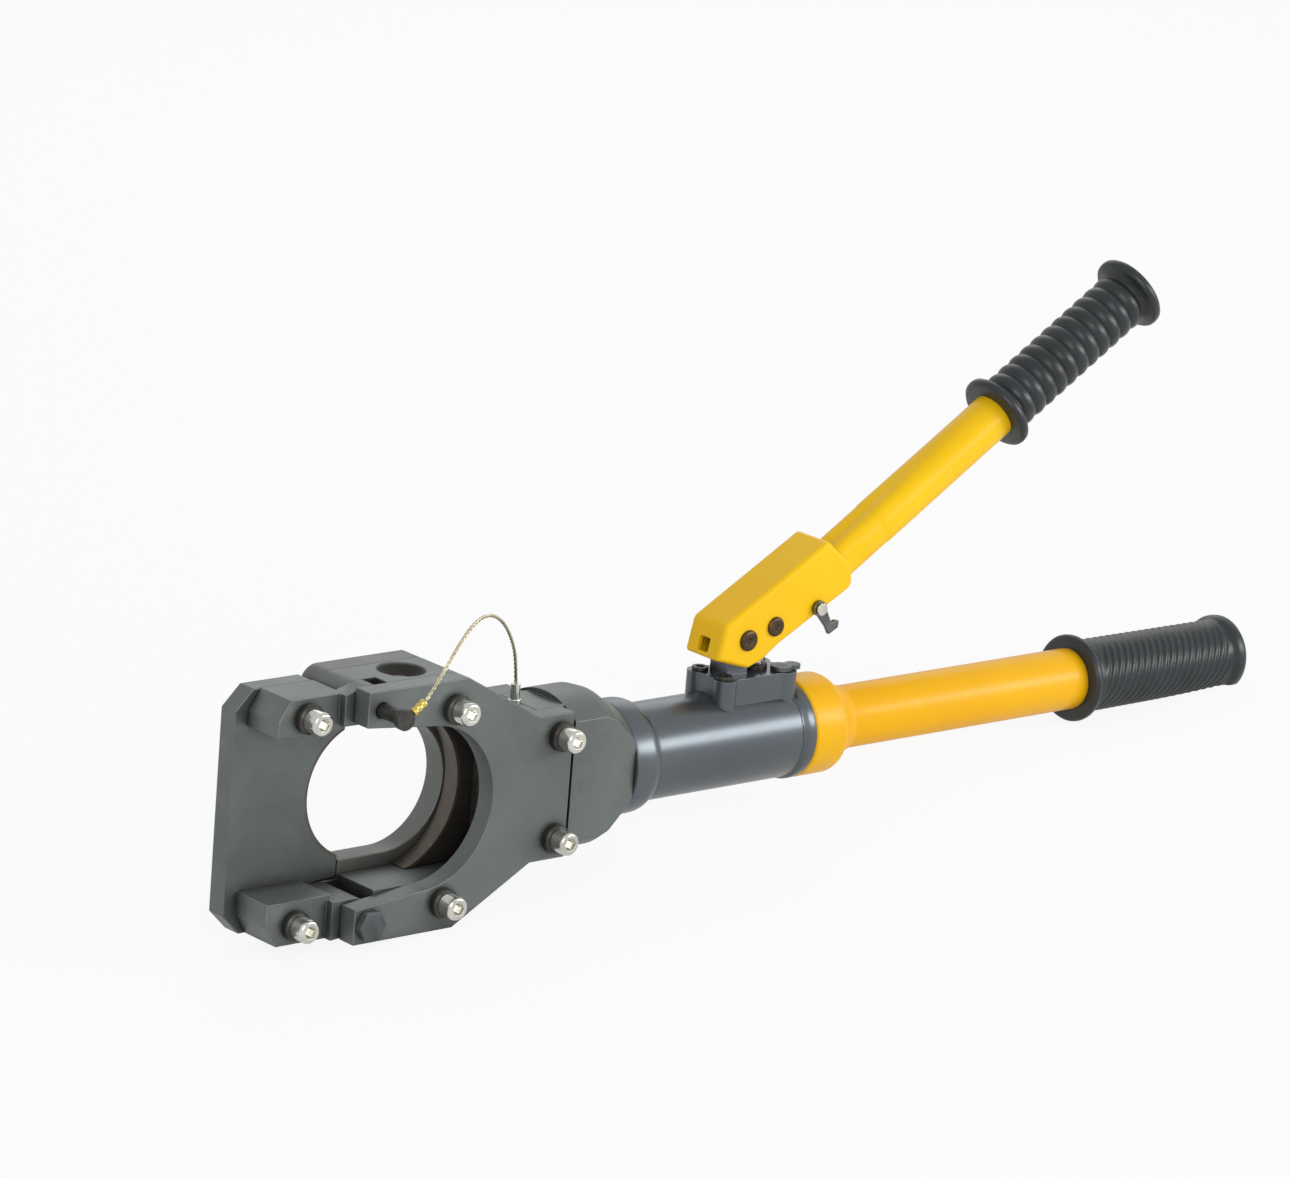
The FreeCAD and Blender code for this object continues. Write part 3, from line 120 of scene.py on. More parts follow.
class Finish:
    """One node material. The methods add nodes and return the socket that carries their result."""

    def __init__(self, name, metallic=0.0, specular=0.5, coat=0.0, coat_roughness=0.1, sheen=0.0):
        self.material = bpy.data.materials.new(name)
        self.material.use_nodes = True
        self.tree = self.material.node_tree
        self.shader = self.tree.nodes["Principled BSDF"]
        self.shader.inputs["Metallic"].default_value = metallic
        self.shader.inputs["Specular IOR Level"].default_value = specular
        self.shader.inputs["Coat Weight"].default_value = coat
        self.shader.inputs["Coat Roughness"].default_value = coat_roughness
        self.shader.inputs["Sheen Weight"].default_value = sheen
        self.place = self.add("ShaderNodeTexCoord").outputs["Object"]

    def add(self, kind, **settings):
        node = self.tree.nodes.new(kind)
        for key, value in settings.items():
            setattr(node, key, value)
        return node

    def link(self, source, target):
        self.tree.links.new(source, target)

    def stretched(self, scale):
        mapping = self.add("ShaderNodeMapping")
        mapping.inputs["Scale"].default_value = scale
        self.link(self.place, mapping.inputs["Vector"])
        return mapping.outputs["Vector"]

    def noise(self, scale, detail=4.0, roughness=0.55, stretch=(1, 1, 1)):
        noise = self.add("ShaderNodeTexNoise")
        noise.inputs["Scale"].default_value = scale
        noise.inputs["Detail"].default_value = detail
        noise.inputs["Roughness"].default_value = roughness
        self.link(self.stretched(stretch), noise.inputs["Vector"])
        return noise.outputs["Fac"]

    def ranged(self, value, low, high, new_low, new_high):
        ranged = self.add("ShaderNodeMapRange")
        for key, number in zip(("From Min", "From Max", "To Min", "To Max"), (low, high, new_low, new_high)):
            ranged.inputs[key].default_value = number
        self.link(value, ranged.inputs["Value"])
        return ranged.outputs["Result"]

    def maths(self, operation, *values):
        node = self.add("ShaderNodeMath", operation=operation)
        for socket, value in zip(node.inputs, values):
            if isinstance(value, (int, float)):
                socket.default_value = value
            else:
                self.link(value, socket)
        return node.outputs["Value"]

    def mix(self, amount, first, second):
        """Mixes two colours, each a socket or four numbers, by a socket from 0 to 1."""
        node = self.add("ShaderNodeMix", data_type="RGBA")
        self.link(amount, node.inputs["Factor"])
        for key, value in (("A", first), ("B", second)):
            socket = [entry for entry in node.inputs if entry.name == key and entry.type == "RGBA"][0]
            if isinstance(value, tuple):
                socket.default_value = value
            else:
                self.link(value, socket)
        return [entry for entry in node.outputs if entry.type == "RGBA"][0]

    def edges(self, radius_mm, low=0.02, high=0.22):
        """A mask of 1 on sharp edges: there a rounded normal turns away from the true one."""
        bevel = self.add("ShaderNodeBevel", samples=4)
        bevel.inputs["Radius"].default_value = radius_mm * MM
        true_normal = self.add("ShaderNodeNewGeometry").outputs["Normal"]
        dot = self.add("ShaderNodeVectorMath", operation="DOT_PRODUCT")
        self.link(bevel.outputs["Normal"], dot.inputs[0])
        self.link(true_normal, dot.inputs[1])
        return self.ranged(self.maths("SUBTRACT", 1.0, dot.outputs["Value"]), low, high, 0.0, 1.0)

    def painted_shade_mask(self, reach_mm, low=0.35, high=0.85):
        """A mask of 1 deep in corners, slots and holes, where shade is painted in."""
        shade = self.add("ShaderNodeAmbientOcclusion", samples=8)
        shade.inputs["Distance"].default_value = reach_mm * MM
        return self.ranged(shade.outputs["AO"], low, high, 1.0, 0.0)

    def inside_scoop(self, x_mm, y_mm, radius_mm, top_mm):
        """A mask of 1 inside a round scoop in a top face, below the face itself, where shade is painted."""
        split = self.add("ShaderNodeSeparateXYZ")
        self.link(self.place, split.inputs["Vector"])
        along = self.maths("SUBTRACT", split.outputs["X"], x_mm * MM)
        across = self.maths("SUBTRACT", split.outputs["Y"], y_mm * MM)
        squares = self.maths("ADD", self.maths("MULTIPLY", along, along),
                             self.maths("MULTIPLY", across, across))
        near = self.ranged(self.maths("SQRT", squares), (radius_mm - 0.3) * MM, radius_mm * MM, 1, 0)
        below = self.ranged(split.outputs["Z"], (top_mm - 1.2) * MM, top_mm * MM, 1, 0)
        return self.maths("MULTIPLY", near, below)

    def bump(self, height, distance_mm, strength=1.0):
        bump = self.add("ShaderNodeBump")
        bump.inputs["Strength"].default_value = strength
        bump.inputs["Distance"].default_value = distance_mm * MM
        self.link(height, bump.inputs["Height"])
        earlier = self.shader.inputs["Normal"].links
        if earlier:
            self.link(earlier[0].from_socket, bump.inputs["Normal"])
        self.link(bump.outputs["Normal"], self.shader.inputs["Normal"])

    def colour(self, socket):
        self.link(socket, self.shader.inputs["Base Color"])

    def roughness(self, socket):
        self.link(socket, self.shader.inputs["Roughness"])


print("material helpers ready")

# %% [markdown]
# ## Gunmetal for the head and the cylinder
# The head's plates are milled steel with a dark phosphate finish. Milling leaves a very fine upright
# grain and handling leaves slow patches. The corners are lighter, partly worn bright and partly a painted
# highlight, and a dark brown painted shade fills corners, slots and holes. The rear cheek, behind the
# blades, is a warmer and oilier grey. The cylinder is turned and polished, so its rings run round it and
# its shine is smooth and tight.

# %% Gunmetal finishes
PAINTED_SHADE_BROWN = linear(44, 41, 37)


UPRIGHT_GRAIN = (3, 3, 0.25)
SCOOP = (4, -2, 13.4, 68)


def head_gunmetal(name, body=(111, 118, 115), deep=(94, 99, 97), scoop=None):
    finish = Finish(name, metallic=0.55, specular=0.45)
    patches = finish.noise(14, 5, 0.6)
    fine = finish.noise(900, 3, 0.6, UPRIGHT_GRAIN)
    tone = finish.mix(finish.ranged(patches, 0.35, 0.7, 0, 1), linear(*body), linear(*deep))
    tone = finish.mix(finish.ranged(fine, 0.3, 0.8, 0, 0.35), tone, linear(136, 141, 138))
    # Painted shade: an occlusion mask, broken up by noise, darkens corners, slots and holes to a dark brown.
    uneven = finish.ranged(finish.noise(60, 4), 0.2, 0.6, 0.6, 0.95)
    recess_shade = finish.maths("MULTIPLY", finish.painted_shade_mask(14), uneven)
    tone = finish.mix(recess_shade, tone, PAINTED_SHADE_BROWN)
    # Corners lightened in patches: wear, and also a painted highlight along the edges.
    worn_and_highlit = finish.maths("MULTIPLY", finish.edges(0.9), finish.ranged(finish.noise(70, 4), 0.4, 0.62, 0, 1))
    tone = finish.mix(worn_and_highlit, tone, linear(168, 170, 166))
    # Painted shade inside the rail's round scoop.
    if scoop:
        tone = finish.mix(finish.inside_scoop(*scoop), tone, PAINTED_SHADE_BROWN)
    finish.colour(tone)
    finish.roughness(finish.ranged(finish.maths("ADD", patches, fine), 0.6, 1.4, 0.36, 0.52))
    finish.bump(fine, 0.012, 0.6)
    finish.bump(finish.noise(160, 3), 0.02, 0.35)
    return finish.material


def turned_gunmetal(name):
    finish = Finish(name, metallic=0.75, specular=0.5, coat=0.1, coat_roughness=0.2)
    rings = finish.noise(500, 2, 0.5, (1, 0.02, 0.02))
    patches = finish.noise(14, 3, 0.5)
    tone = finish.mix(finish.ranged(patches, 0.35, 0.7, 0, 1), linear(100, 106, 110), linear(92, 98, 103))
    # Corners lightened in patches: wear, and also a painted highlight along the edges.
    worn_and_highlit = finish.maths("MULTIPLY", finish.edges(0.8), finish.ranged(finish.noise(80, 4), 0.42, 0.6, 0, 1))
    finish.colour(finish.mix(worn_and_highlit, tone, linear(150, 154, 156)))
    finish.roughness(finish.ranged(patches, 0.3, 0.7, 0.27, 0.31))
    finish.bump(rings, 0.0015, 0.2)
    return finish.material


GUNMETAL = head_gunmetal("gunmetal_plate")
SCOOPED = head_gunmetal("gunmetal_scooped", scoop=SCOOP)
OILED = head_gunmetal("gunmetal_oiled", body=(109, 112, 107), deep=(93, 93, 88))
CYLINDER = turned_gunmetal("gunmetal_turned")
print("finishes:", GUNMETAL.name, SCOOPED.name, OILED.name, CYLINDER.name)

# %% [markdown]
# ## Ground land of the blades
# A blade is ground after it is blackened, so a narrow bright land follows its cutting arc. The land
# is found from geometry: it is where a point's distance from the arc's centre is close to the arc's
# radius. That is three maths nodes, and it needs no painted mask.

# %% Blade finish
LAND_WIDTH = 2.2
LAND_FADE = 0.6


def blade_finish(name, centre_x_mm, radius_mm, body, deep):
    finish = Finish(name, metallic=0.7, specular=0.5)
    split = finish.add("ShaderNodeSeparateXYZ")
    finish.link(finish.place, split.inputs["Vector"])
    across = finish.maths("SUBTRACT", split.outputs["X"], centre_x_mm * MM)
    squares = finish.maths("ADD", finish.maths("MULTIPLY", across, across),
                           finish.maths("MULTIPLY", split.outputs["Z"], split.outputs["Z"]))
    past_arc = finish.maths("SUBTRACT", finish.maths("SQRT", squares), radius_mm * MM)
    ragged = finish.maths("MULTIPLY", finish.noise(120, 4), 0.0012)
    land = finish.ranged(finish.maths("ADD", past_arc, ragged),
                         LAND_WIDTH * MM, (LAND_WIDTH + LAND_FADE) * MM, 1, 0)
    patches = finish.noise(16, 5, 0.6)
    fine = finish.noise(900, 3, 0.6, UPRIGHT_GRAIN)
    tone = finish.mix(finish.ranged(patches, 0.35, 0.7, 0, 1), linear(*body), linear(*deep))
    # Painted shade: corners, slots and holes go dark brown.
    tone = finish.mix(finish.painted_shade_mask(14), tone, PAINTED_SHADE_BROWN)
    ground = finish.mix(finish.noise(1500, 2, 0.6, (1, 0.1, 1)), linear(112, 106, 97), linear(78, 72, 64))
    finish.colour(finish.mix(land, tone, ground))
    finish.roughness(finish.ranged(finish.maths("ADD", patches, fine), 0.6, 1.4, 0.34, 0.5))
    finish.bump(fine, 0.012, 0.6)
    return finish.material


FIXED_BLADE = blade_finish("fixed_blade_steel", -3, 37.0, (111, 118, 115), (96, 101, 99))
MOVING_BLADE = blade_finish("moving_blade_steel", 4, 46.0, (86, 82, 76), (56, 52, 47))
print("finishes:", FIXED_BLADE.name, MOVING_BLADE.name)

# %% [markdown]
# ## Bright, dark and spring steels
# The small hardware carries the sparkle. Plated bolts are nearly mirrors with faint turning rings,
# oxide-black screws are satin with brown in the pores, and spring steel lies between them. Only the
# colours and a few numbers differ, so one function makes them all.

# %% Hardware finishes
def hardware(name, light, dark, rough_low, rough_high, metallic=1.0, scratch=0.006):
    finish = Finish(name, metallic=metallic)
    rings = finish.noise(1300, 3, 0.6, (1, 0.15, 1))
    patches = finish.noise(90, 4, 0.6)
    finish.colour(finish.mix(finish.ranged(patches, 0.35, 0.68, 0, 1), linear(*light), linear(*dark)))
    finish.roughness(finish.ranged(finish.maths("ADD", rings, patches), 0.6, 1.4, rough_low, rough_high))
    finish.bump(rings, scratch, 0.5)
    return finish.material


ZINC = hardware("bright_zinc", (226, 226, 220), (196, 194, 184), 0.10, 0.24)
CHROME = hardware("chromed_rod", (224, 226, 230), (206, 208, 212), 0.06, 0.14)
OXIDE = hardware("black_oxide", (80, 79, 75), (54, 51, 47), 0.32, 0.52, 0.75, 0.012)
BLUED = hardware("blued_steel", (100, 105, 106), (76, 80, 81), 0.32, 0.5, 0.7, 0.012)
PIN_STEEL = hardware("browned_pin_steel", (104, 84, 62), (62, 50, 40), 0.30, 0.48, 0.85, 0.012)
SPRING = hardware("spring_steel", (126, 128, 126), (92, 94, 92), 0.22, 0.40)
WIRE = hardware("strand_steel", (214, 206, 176), (168, 160, 132), 0.22, 0.38, 0.9)
BRASS = hardware("crimped_brass", (214, 190, 104), (170, 140, 66), 0.24, 0.42, 0.95, 0.012)
TOOL_STEEL = hardware("ground_tool_steel", (134, 136, 132), (104, 104, 98), 0.28, 0.44, 0.9)
print("hardware finishes:", 9)

# %% [markdown]
# ## Yellow paint
# The lever, the coupling and the handle tube are sprayed a warm yellow under a hard gloss. Sprayed
# paint has orange peel, a soft ripple about 2 mm long, and its tone drifts a little. Where edges are
# knocked the paint thins to a darker ochre.

# %% Yellow paint
def yellow_paint(name, light, deep):
    finish = Finish(name, specular=0.22, coat=0.1, coat_roughness=0.2)
    drift = finish.noise(9, 4, 0.5)
    specks = finish.ranged(finish.noise(420, 4, 0.6), 0.70, 0.76, 0, 0.5)
    tone = finish.mix(finish.ranged(drift, 0.3, 0.7, 0, 1), linear(*light), linear(*deep))
    tone = finish.mix(specks, tone, linear(190, 138, 20))
    patchy = finish.ranged(finish.noise(95, 5, 0.65), 0.56, 0.62, 0, 1)
    chips = finish.maths("MULTIPLY", finish.edges(0.7, 0.05, 0.3), patchy)
    # Painted shade: hollows such as the fork's slot turn a dark orange-brown.
    tone = finish.mix(finish.painted_shade_mask(9, 0.1, 0.6), tone, linear(112, 58, 8))
    finish.colour(finish.mix(chips, tone, linear(120, 96, 50)))
    finish.roughness(finish.ranged(drift, 0.3, 0.7, 0.32, 0.42))
    finish.bump(finish.noise(520, 2, 0.5), 0.03, 0.35)
    return finish.material


LEVER_YELLOW = yellow_paint("lever_yellow", (252, 204, 4), (246, 192, 2))
TUBE_YELLOW = yellow_paint("tube_yellow", (248, 190, 10), (240, 176, 6))
print("finishes:", LEVER_YELLOW.name, TUBE_YELLOW.name)

# %% [markdown]
# ## Moulded rubber
# Both grips are dipped or moulded rubber, dark with a cold tint. Their tone and shine change in slow
# patches. A little sheen gives the soft bloom of old rubber, and a fine pebble in the bump stops the
# highlights from looking like glass.

# %% Rubber
def rubber(name, light, dark, rough_low, rough_high):
    finish = Finish(name, specular=0.5, sheen=0.03)
    patches = finish.noise(45, 5, 0.6)
    pebble = finish.noise(1400, 3, 0.6)
    finish.colour(finish.mix(finish.ranged(patches, 0.35, 0.68, 0, 1), linear(*light), linear(*dark)))
    finish.roughness(finish.ranged(finish.maths("ADD", patches, pebble), 0.6, 1.4, rough_low, rough_high))
    finish.bump(pebble, 0.03, 0.4)
    return finish.material


GRIP_RUBBER = rubber("grip_rubber", (36, 43, 45), (22, 27, 29), 0.26, 0.44)
SEAL_RUBBER = rubber("seal_rubber", (32, 32, 33), (22, 22, 23), 0.4, 0.6)
print("finishes:", GRIP_RUBBER.name, SEAL_RUBBER.name)

# %% [markdown]
# ## Turning a mesh into a part
# Every part ends the same way: its mesh is written, shaded smooth except across real corners, and told
# which body it rides on, and the construction parts it replaces are hidden. Doing that in one function
# keeps the later cells about shape alone.

# %% Finishing a part
REST_DEG = 32.2
PIVOT = Vector((233.5, 0, 58.3)) * MM


def finish_part(name, bm, material, body, replaced=(), corner_deg=32):
    mesh = bpy.data.meshes.new(name)
    bm.to_mesh(mesh)
    bm.free()
    mesh.materials.append(material)
    mesh.shade_smooth()
    mesh.set_sharp_from_angle(angle=math.radians(corner_deg))
    part = bpy.data.objects.new(name, mesh)
    SCENE.collection.objects.link(part)
    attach(part, body)
    if replaced:
        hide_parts(*replaced)
    return part


def sharp_edges(bm, corner_deg=25):
    limit = math.radians(corner_deg)
    return [edge for edge in bm.edges if len(edge.link_faces) == 2 and edge.calc_face_angle(0) > limit]


def round_edges(bm, edges, width_mm, segments=2):
    bmesh.ops.bevel(bm, geom=edges, offset=width_mm * MM, offset_type="OFFSET", segments=segments,
                    profile=0.5, affect="EDGES", clamp_overlap=False, material=-1)


def raise_lever(bm):
    """Lifts a lever part, modelled level with its pivot at the origin, to where it rests."""
    lift = Matrix.Translation(PIVOT) @ Matrix.Rotation(-math.radians(REST_DEG), 4, "Y")
    bmesh.ops.transform(bm, matrix=lift, verts=bm.verts)


print("lever rests at", REST_DEG, "degrees")

# %% [markdown]
# ## The lanyard
# A thin steel rope keeps the latch pin from getting lost. It leaves a brass sleeve on the pin, bows
# up over the head by its own stiffness and ends in a ferrule on the neck. The route is one smooth
# spline, and three strands are wound round the points that Blender reads back from it.

# %% Lanyard route
WIRE_R = 1.0
STRANDS = 3
STRAND_R = 0.52
LAY_LENGTH = 9.0
LANYARD_ROUTE = [(-16.53, -48.7, 66.12), (-4, -46, 78.5), (9, -42, 92), (23, -36.5, 100.5),
                 (38, -30, 101), (54, -22, 92.5), (67, -14.5, 79), (76, -8, 65.5), (80.4, -4, 51)]


def route_points(points_mm):
    curve = bpy.data.curves.new("lanyard_route", "CURVE")
    curve.dimensions = "3D"
    spline = curve.splines.new("NURBS")
    spline.points.add(len(points_mm) - 1)
    for point, place in zip(spline.points, points_mm):
        point.co = (*(Vector(place) * MM), 1)
    spline.order_u = 3
    spline.use_endpoint_u = True
    spline.resolution_u = 24
    holder = bpy.data.objects.new("lanyard_route", curve)
    SCENE.collection.objects.link(holder)
    read = bpy.data.meshes.new_from_object(holder)
    points = [vertex.co.copy() for vertex in read.vertices]
    bpy.data.objects.remove(holder)
    bpy.data.meshes.remove(read)
    return points


def path_length(points):
    return sum((b - a).length for a, b in zip(points, points[1:]))


lanyard_path = route_points(LANYARD_ROUTE)
print("lanyard path:", len(lanyard_path), "points,", round(path_length(lanyard_path), 4), "m")

# %% [markdown]
# Each strand is a helix that needs two directions square to the route. We carry one of them along
# from point to point, so that the winding never flips, and turn it by one full turn for each lay
# length. A small ring of vertices is placed at each point, and rings are joined by quads.

# %% Lanyard strands
def strand_rings(points, phase, sides=8):
    """Places for one strand: a ring of vertices at each point of the route."""
    side = Vector((0, 1, 0))
    travelled = 0.0
    rings = []
    for index, point in enumerate(points):
        ahead = points[min(index + 1, len(points) - 1)] - points[max(index - 1, 0)]
        ahead.normalize()
        side = (side - ahead * side.dot(ahead)).normalized()
        other = ahead.cross(side)
        if index:
            travelled += (point - points[index - 1]).length
        turn = phase + 2 * math.pi * travelled / (LAY_LENGTH * MM)
        outward = side * math.cos(turn) + other * math.sin(turn)
        around = ahead.cross(outward)
        middle = point + outward * (WIRE_R - STRAND_R) * MM
        steps = [2 * math.pi * step / sides for step in range(sides)]
        rings.append([middle + (outward * math.cos(a) + around * math.sin(a)) * STRAND_R * MM for a in steps])
    return rings


def make_lanyard():
    bm = bmesh.new()
    for strand in range(STRANDS):
        loops = []
        for ring in strand_rings(lanyard_path, 2 * math.pi * strand / STRANDS):
            vertices = [bm.verts.new(place) for place in ring]
            loops.append([bm.edges.new((a, b)) for a, b in zip(vertices, vertices[1:] + vertices[:1])])
        for near, far in zip(loops, loops[1:]):
            bmesh.ops.bridge_loops(bm, edges=near + far)
        for end in (loops[0], loops[-1]):
            bmesh.ops.contextual_create(bm, geom=end)
    bmesh.ops.recalc_face_normals(bm, faces=bm.faces)
    mesh = bpy.data.meshes.new("steel_lanyard")
    bm.to_mesh(mesh)
    bm.free()
    mesh.materials.append(WIRE)
    mesh.shade_smooth()
    lanyard = bpy.data.objects.new("steel_lanyard", mesh)
    SCENE.collection.objects.link(lanyard)
    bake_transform(lanyard)
    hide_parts("lanyard_wire")
    return lanyard


lanyard = make_lanyard()
print("lanyard:", len(lanyard.data.polygons), "faces")

# %% [markdown]
# ## Rounding the machined parts
# The construction parts are true to size but their corners are razor sharp, and a razor corner
# catches no light. We take a copy of each one, weld its loose triangles, dissolve the flat ones into
# whole faces, and bevel every real corner by a few tenths of a millimetre. A copy keeps the shading
# directions it was made with, and they go wrong once its faces change. So we set them again: at each
# corner the faces around it are averaged by their area, and the large flat faces stay flat.

# %% Machined parts
FLAT_DEG = 0.4


def keep_flats_flat(mesh, corner_deg=46):
    """Shades each corner by the faces around it, the large ones counting most."""
    limit = math.cos(math.radians(corner_deg))
    around = [[] for vertex in mesh.vertices]
    for face in mesh.polygons:
        for vertex in face.vertices:
            around[vertex].append((face.normal.copy(), face.area))
    normals = []
    for face in mesh.polygons:
        for vertex in face.vertices:
            blend = Vector()
            for normal, area in around[vertex]:
                if face.normal.dot(normal) > limit:
                    blend += normal * area
            normals.append(blend.normalized() if blend.length > 0 else face.normal.copy())
    mesh.normals_split_custom_set(normals)


def rounded_copy(node, width_mm, material, body, slot):
    bm = bmesh.new()
    bm.from_mesh(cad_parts[node].data)
    bmesh.ops.remove_doubles(bm, verts=bm.verts, dist=0.001 * MM)
    bmesh.ops.dissolve_limit(bm, angle_limit=math.radians(FLAT_DEG), use_dissolve_boundaries=False,
                             verts=bm.verts, edges=bm.edges)
    round_edges(bm, sharp_edges(bm), width_mm)
    part = finish_part(node + "_finished", bm, material, body, [node])
    keep_flats_flat(part.data)
    return part


HEAD = "head_and_barrel"
MACHINED = [
    ("front_cheek", 0.6, GUNMETAL, HEAD, "head_steel"),
    ("rear_cheek", 0.6, OILED, HEAD, "head_steel"),
    ("upper_rail", 0.5, SCOOPED, HEAD, "head_steel"),
    ("lower_rail", 0.5, GUNMETAL, HEAD, "head_steel"),
    ("base_flange", 0.35, GUNMETAL, HEAD, "head_steel"),
    ("yoke_plate", 0.7, FIXED_BLADE, "yoke", "head_steel"),
    ("upper_guide_block", 0.3, GUNMETAL, "yoke", "head_steel"),
    ("lower_guide_block", 0.12, GUNMETAL, "yoke", "head_steel"),
    ("moving_blade", 0.3, MOVING_BLADE, "ram", "blade_steel"),
    ("blade_holder", 0.4, TOOL_STEEL, "ram", "blade_steel"),
    ("frame_bosses", 0.25, OXIDE, HEAD, "dark_steel"),
    ("neck_bosses", 0.25, OXIDE, HEAD, "dark_steel"),
    ("guide_bosses", 0.25, OXIDE, "yoke", "dark_steel"),
    ("frame_bolts", 0.25, ZINC, HEAD, "bright_zinc"),
    ("neck_bolts", 0.25, ZINC, HEAD, "bright_zinc"),
    ("guide_bolts", 0.25, ZINC, "yoke", "bright_zinc"),
    ("hinge_bolt", 0.5, BLUED, HEAD, "dark_steel"),
    ("rail_lock_screw", 0.3, BLUED, HEAD, "dark_steel"),
    ("lanyard_anchor", 0.2, ZINC, HEAD, "bright_zinc"),
    ("latch_pin", 0.5, OXIDE, "latch", "dark_steel"),
    ("pump_block", 0.2, CYLINDER, HEAD, "cylinder_steel"),
    ("pump_block_screws", 0.3, OXIDE, HEAD, "dark_steel"),
    ("plunger_gland", 0.2, OXIDE, HEAD, "dark_steel"),
    ("plunger_eye", 0.5, OXIDE, "plunger", "dark_steel"),
    ("lever_fork", 0.12, LEVER_YELLOW, "lever", "yellow_paint"),
    ("release_lever", 0.12, BLUED, "release", "bright_zinc"),
    ("handle_hook", 0.4, SPRING, "hook", "bright_zinc"),
    ("hook_pin", 0.25, ZINC, "lever", "bright_zinc"),
    ("pin_circlips", 0.15, SPRING, "lever", "spring_steel"),
    ("tube_end_plug", 0.4, OXIDE, HEAD, "dark_steel"),
]
for entry in MACHINED:
    part = rounded_copy(*entry)
    print(part.name, len(part.data.polygons), "faces")

# %% [markdown]
# ## Turned parts
# A barrel, a nut or a sleeve is what a lathe makes: one profile swept round an axis. We draw half of
# the outline as points of place along the axis and radius, join them by edges and spin them. The
# corners are bevelled after the spin, as a machinist breaks an edge with a file.

# %% Lathe
LATHE_STEPS = 96


def lathe(profile_mm, closed=True, steps=LATHE_STEPS):
    """A bmesh spun about X from points of (x, radius); a point at radius 0 becomes a pole."""
    bm = bmesh.new()
    vertices = [bm.verts.new((x * MM, 0, radius * MM)) for x, radius in profile_mm]
    ends = vertices[1:] + (vertices[:1] if closed else [])
    edges = [bm.edges.new(pair) for pair in zip(vertices, ends)]
    bmesh.ops.spin(bm, geom=vertices + edges, cent=(0, 0, 0), axis=(1, 0, 0), dvec=(0, 0, 0),
                   angle=2 * math.pi, steps=steps, use_merge=True, use_normal_flip=False,
                   use_duplicate=False)
    bmesh.ops.remove_doubles(bm, verts=bm.verts, dist=0.002 * MM)
    bmesh.ops.recalc_face_normals(bm, faces=bm.faces)
    return bm


def in_mm(node):
    low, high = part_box(node)
    return [value / MM for value in low], [value / MM for value in high]


barrel_low, barrel_high = in_mm("barrel")
BARREL_R = 26.75
BARREL_BORE_R = 21.0
LIP_R = barrel_high[1]
barrel_end = barrel_high[0]
print("barrel from", round(barrel_low[0], 2), "to", round(barrel_end, 2), "lip radius", round(LIP_R, 2))

# %% [markdown]
# ## The cylinder barrel
# The barrel is the smooth dark tube behind the head. At its far end it swells into a thin lip, with
# a shadow groove before the yellow coupling. A faint tool-relief groove follows the collar nut. The
# pump block sits in a saddle on top, so the barrel itself stays a plain turned shape there.

# %% Barrel, collar and gland
def make_barrel():
    end = barrel_end
    collar_end = in_mm("collar_nut")[1][0]
    profile = [(barrel_low[0], BARREL_BORE_R), (barrel_low[0], BARREL_R), (collar_end + 0.6, BARREL_R),
               (collar_end + 1.0, BARREL_R - 0.3), (collar_end + 1.8, BARREL_R - 0.3),
               (collar_end + 2.2, BARREL_R), (end - 9.5, BARREL_R), (end - 8.6, BARREL_R - 0.5),
               (end - 7.6, BARREL_R - 0.5), (end - 6.5, LIP_R - 0.3), (end - 5.8, LIP_R), (end - 1.4, LIP_R),
               (end - 0.9, LIP_R - 0.7), (end, LIP_R - 0.7), (end, BARREL_BORE_R)]
    bm = lathe(profile)
    round_edges(bm, sharp_edges(bm), 0.2)
    return finish_part("cylinder_barrel", bm, CYLINDER, HEAD, ["barrel"])


def make_collar():
    low, high = in_mm("collar_nut")
    outer = high[1]
    bore = BARREL_R + 0.05
    swell = [(high[0] - 8 * (1 - math.sin(turn)), outer - 4 * (1 - math.cos(turn)))
             for turn in [math.radians(9 * step) for step in range(10)]]
    profile = [(low[0], bore), (low[0], outer - 0.8), (low[0] + 0.8, outer)] + swell + [(high[0], bore)]
    bm = lathe(profile)
    round_edges(bm, sharp_edges(bm), 0.2)
    return finish_part("collar_ring", bm, CYLINDER, HEAD, ["collar_nut"])


print(make_barrel().name, make_collar().name)

# %% [markdown]
# ## Coupling and handle tube
# The yellow coupling screws into the barrel and necks down to the handle tube in a soft curve, so
# its profile gets an S-shaped shoulder from a cosine. The tube behind it is plain drawn pipe. Both
# are painted after they are joined, which is why the paint runs over the step between them.

# %% Coupling and tube
TUBE_R = 17.5
TUBE_BORE_R = 15.5
SHOULDER_STEPS = 10


def shoulder(x_from, r_from, x_to, r_to):
    """An S-curve between two radii, level at both ends."""
    places = [step / SHOULDER_STEPS for step in range(SHOULDER_STEPS + 1)]
    return [(x_from + (x_to - x_from) * t, r_to + (r_from - r_to) * (1 + math.cos(math.pi * t)) / 2)
            for t in places]


def make_coupling():
    low, high = in_mm("coupling")
    profile = [(low[0], 5), (low[0], BARREL_BORE_R - 0.05), (barrel_end, BARREL_BORE_R - 0.05),
               (barrel_end, LIP_R - 1.0), (barrel_end + 1.2, LIP_R)]
    profile += shoulder(barrel_end + 20, LIP_R, high[0] - 3, TUBE_R + 1.4)
    profile += [(high[0], TUBE_R + 1.2), (high[0], TUBE_R + 0.05), (barrel_end + 22, TUBE_R + 0.05),
                (barrel_end + 22, 5)]
    bm = lathe(profile)
    round_edges(bm, sharp_edges(bm), 0.35)
    return finish_part("yellow_coupling", bm, TUBE_YELLOW, HEAD, ["coupling"])


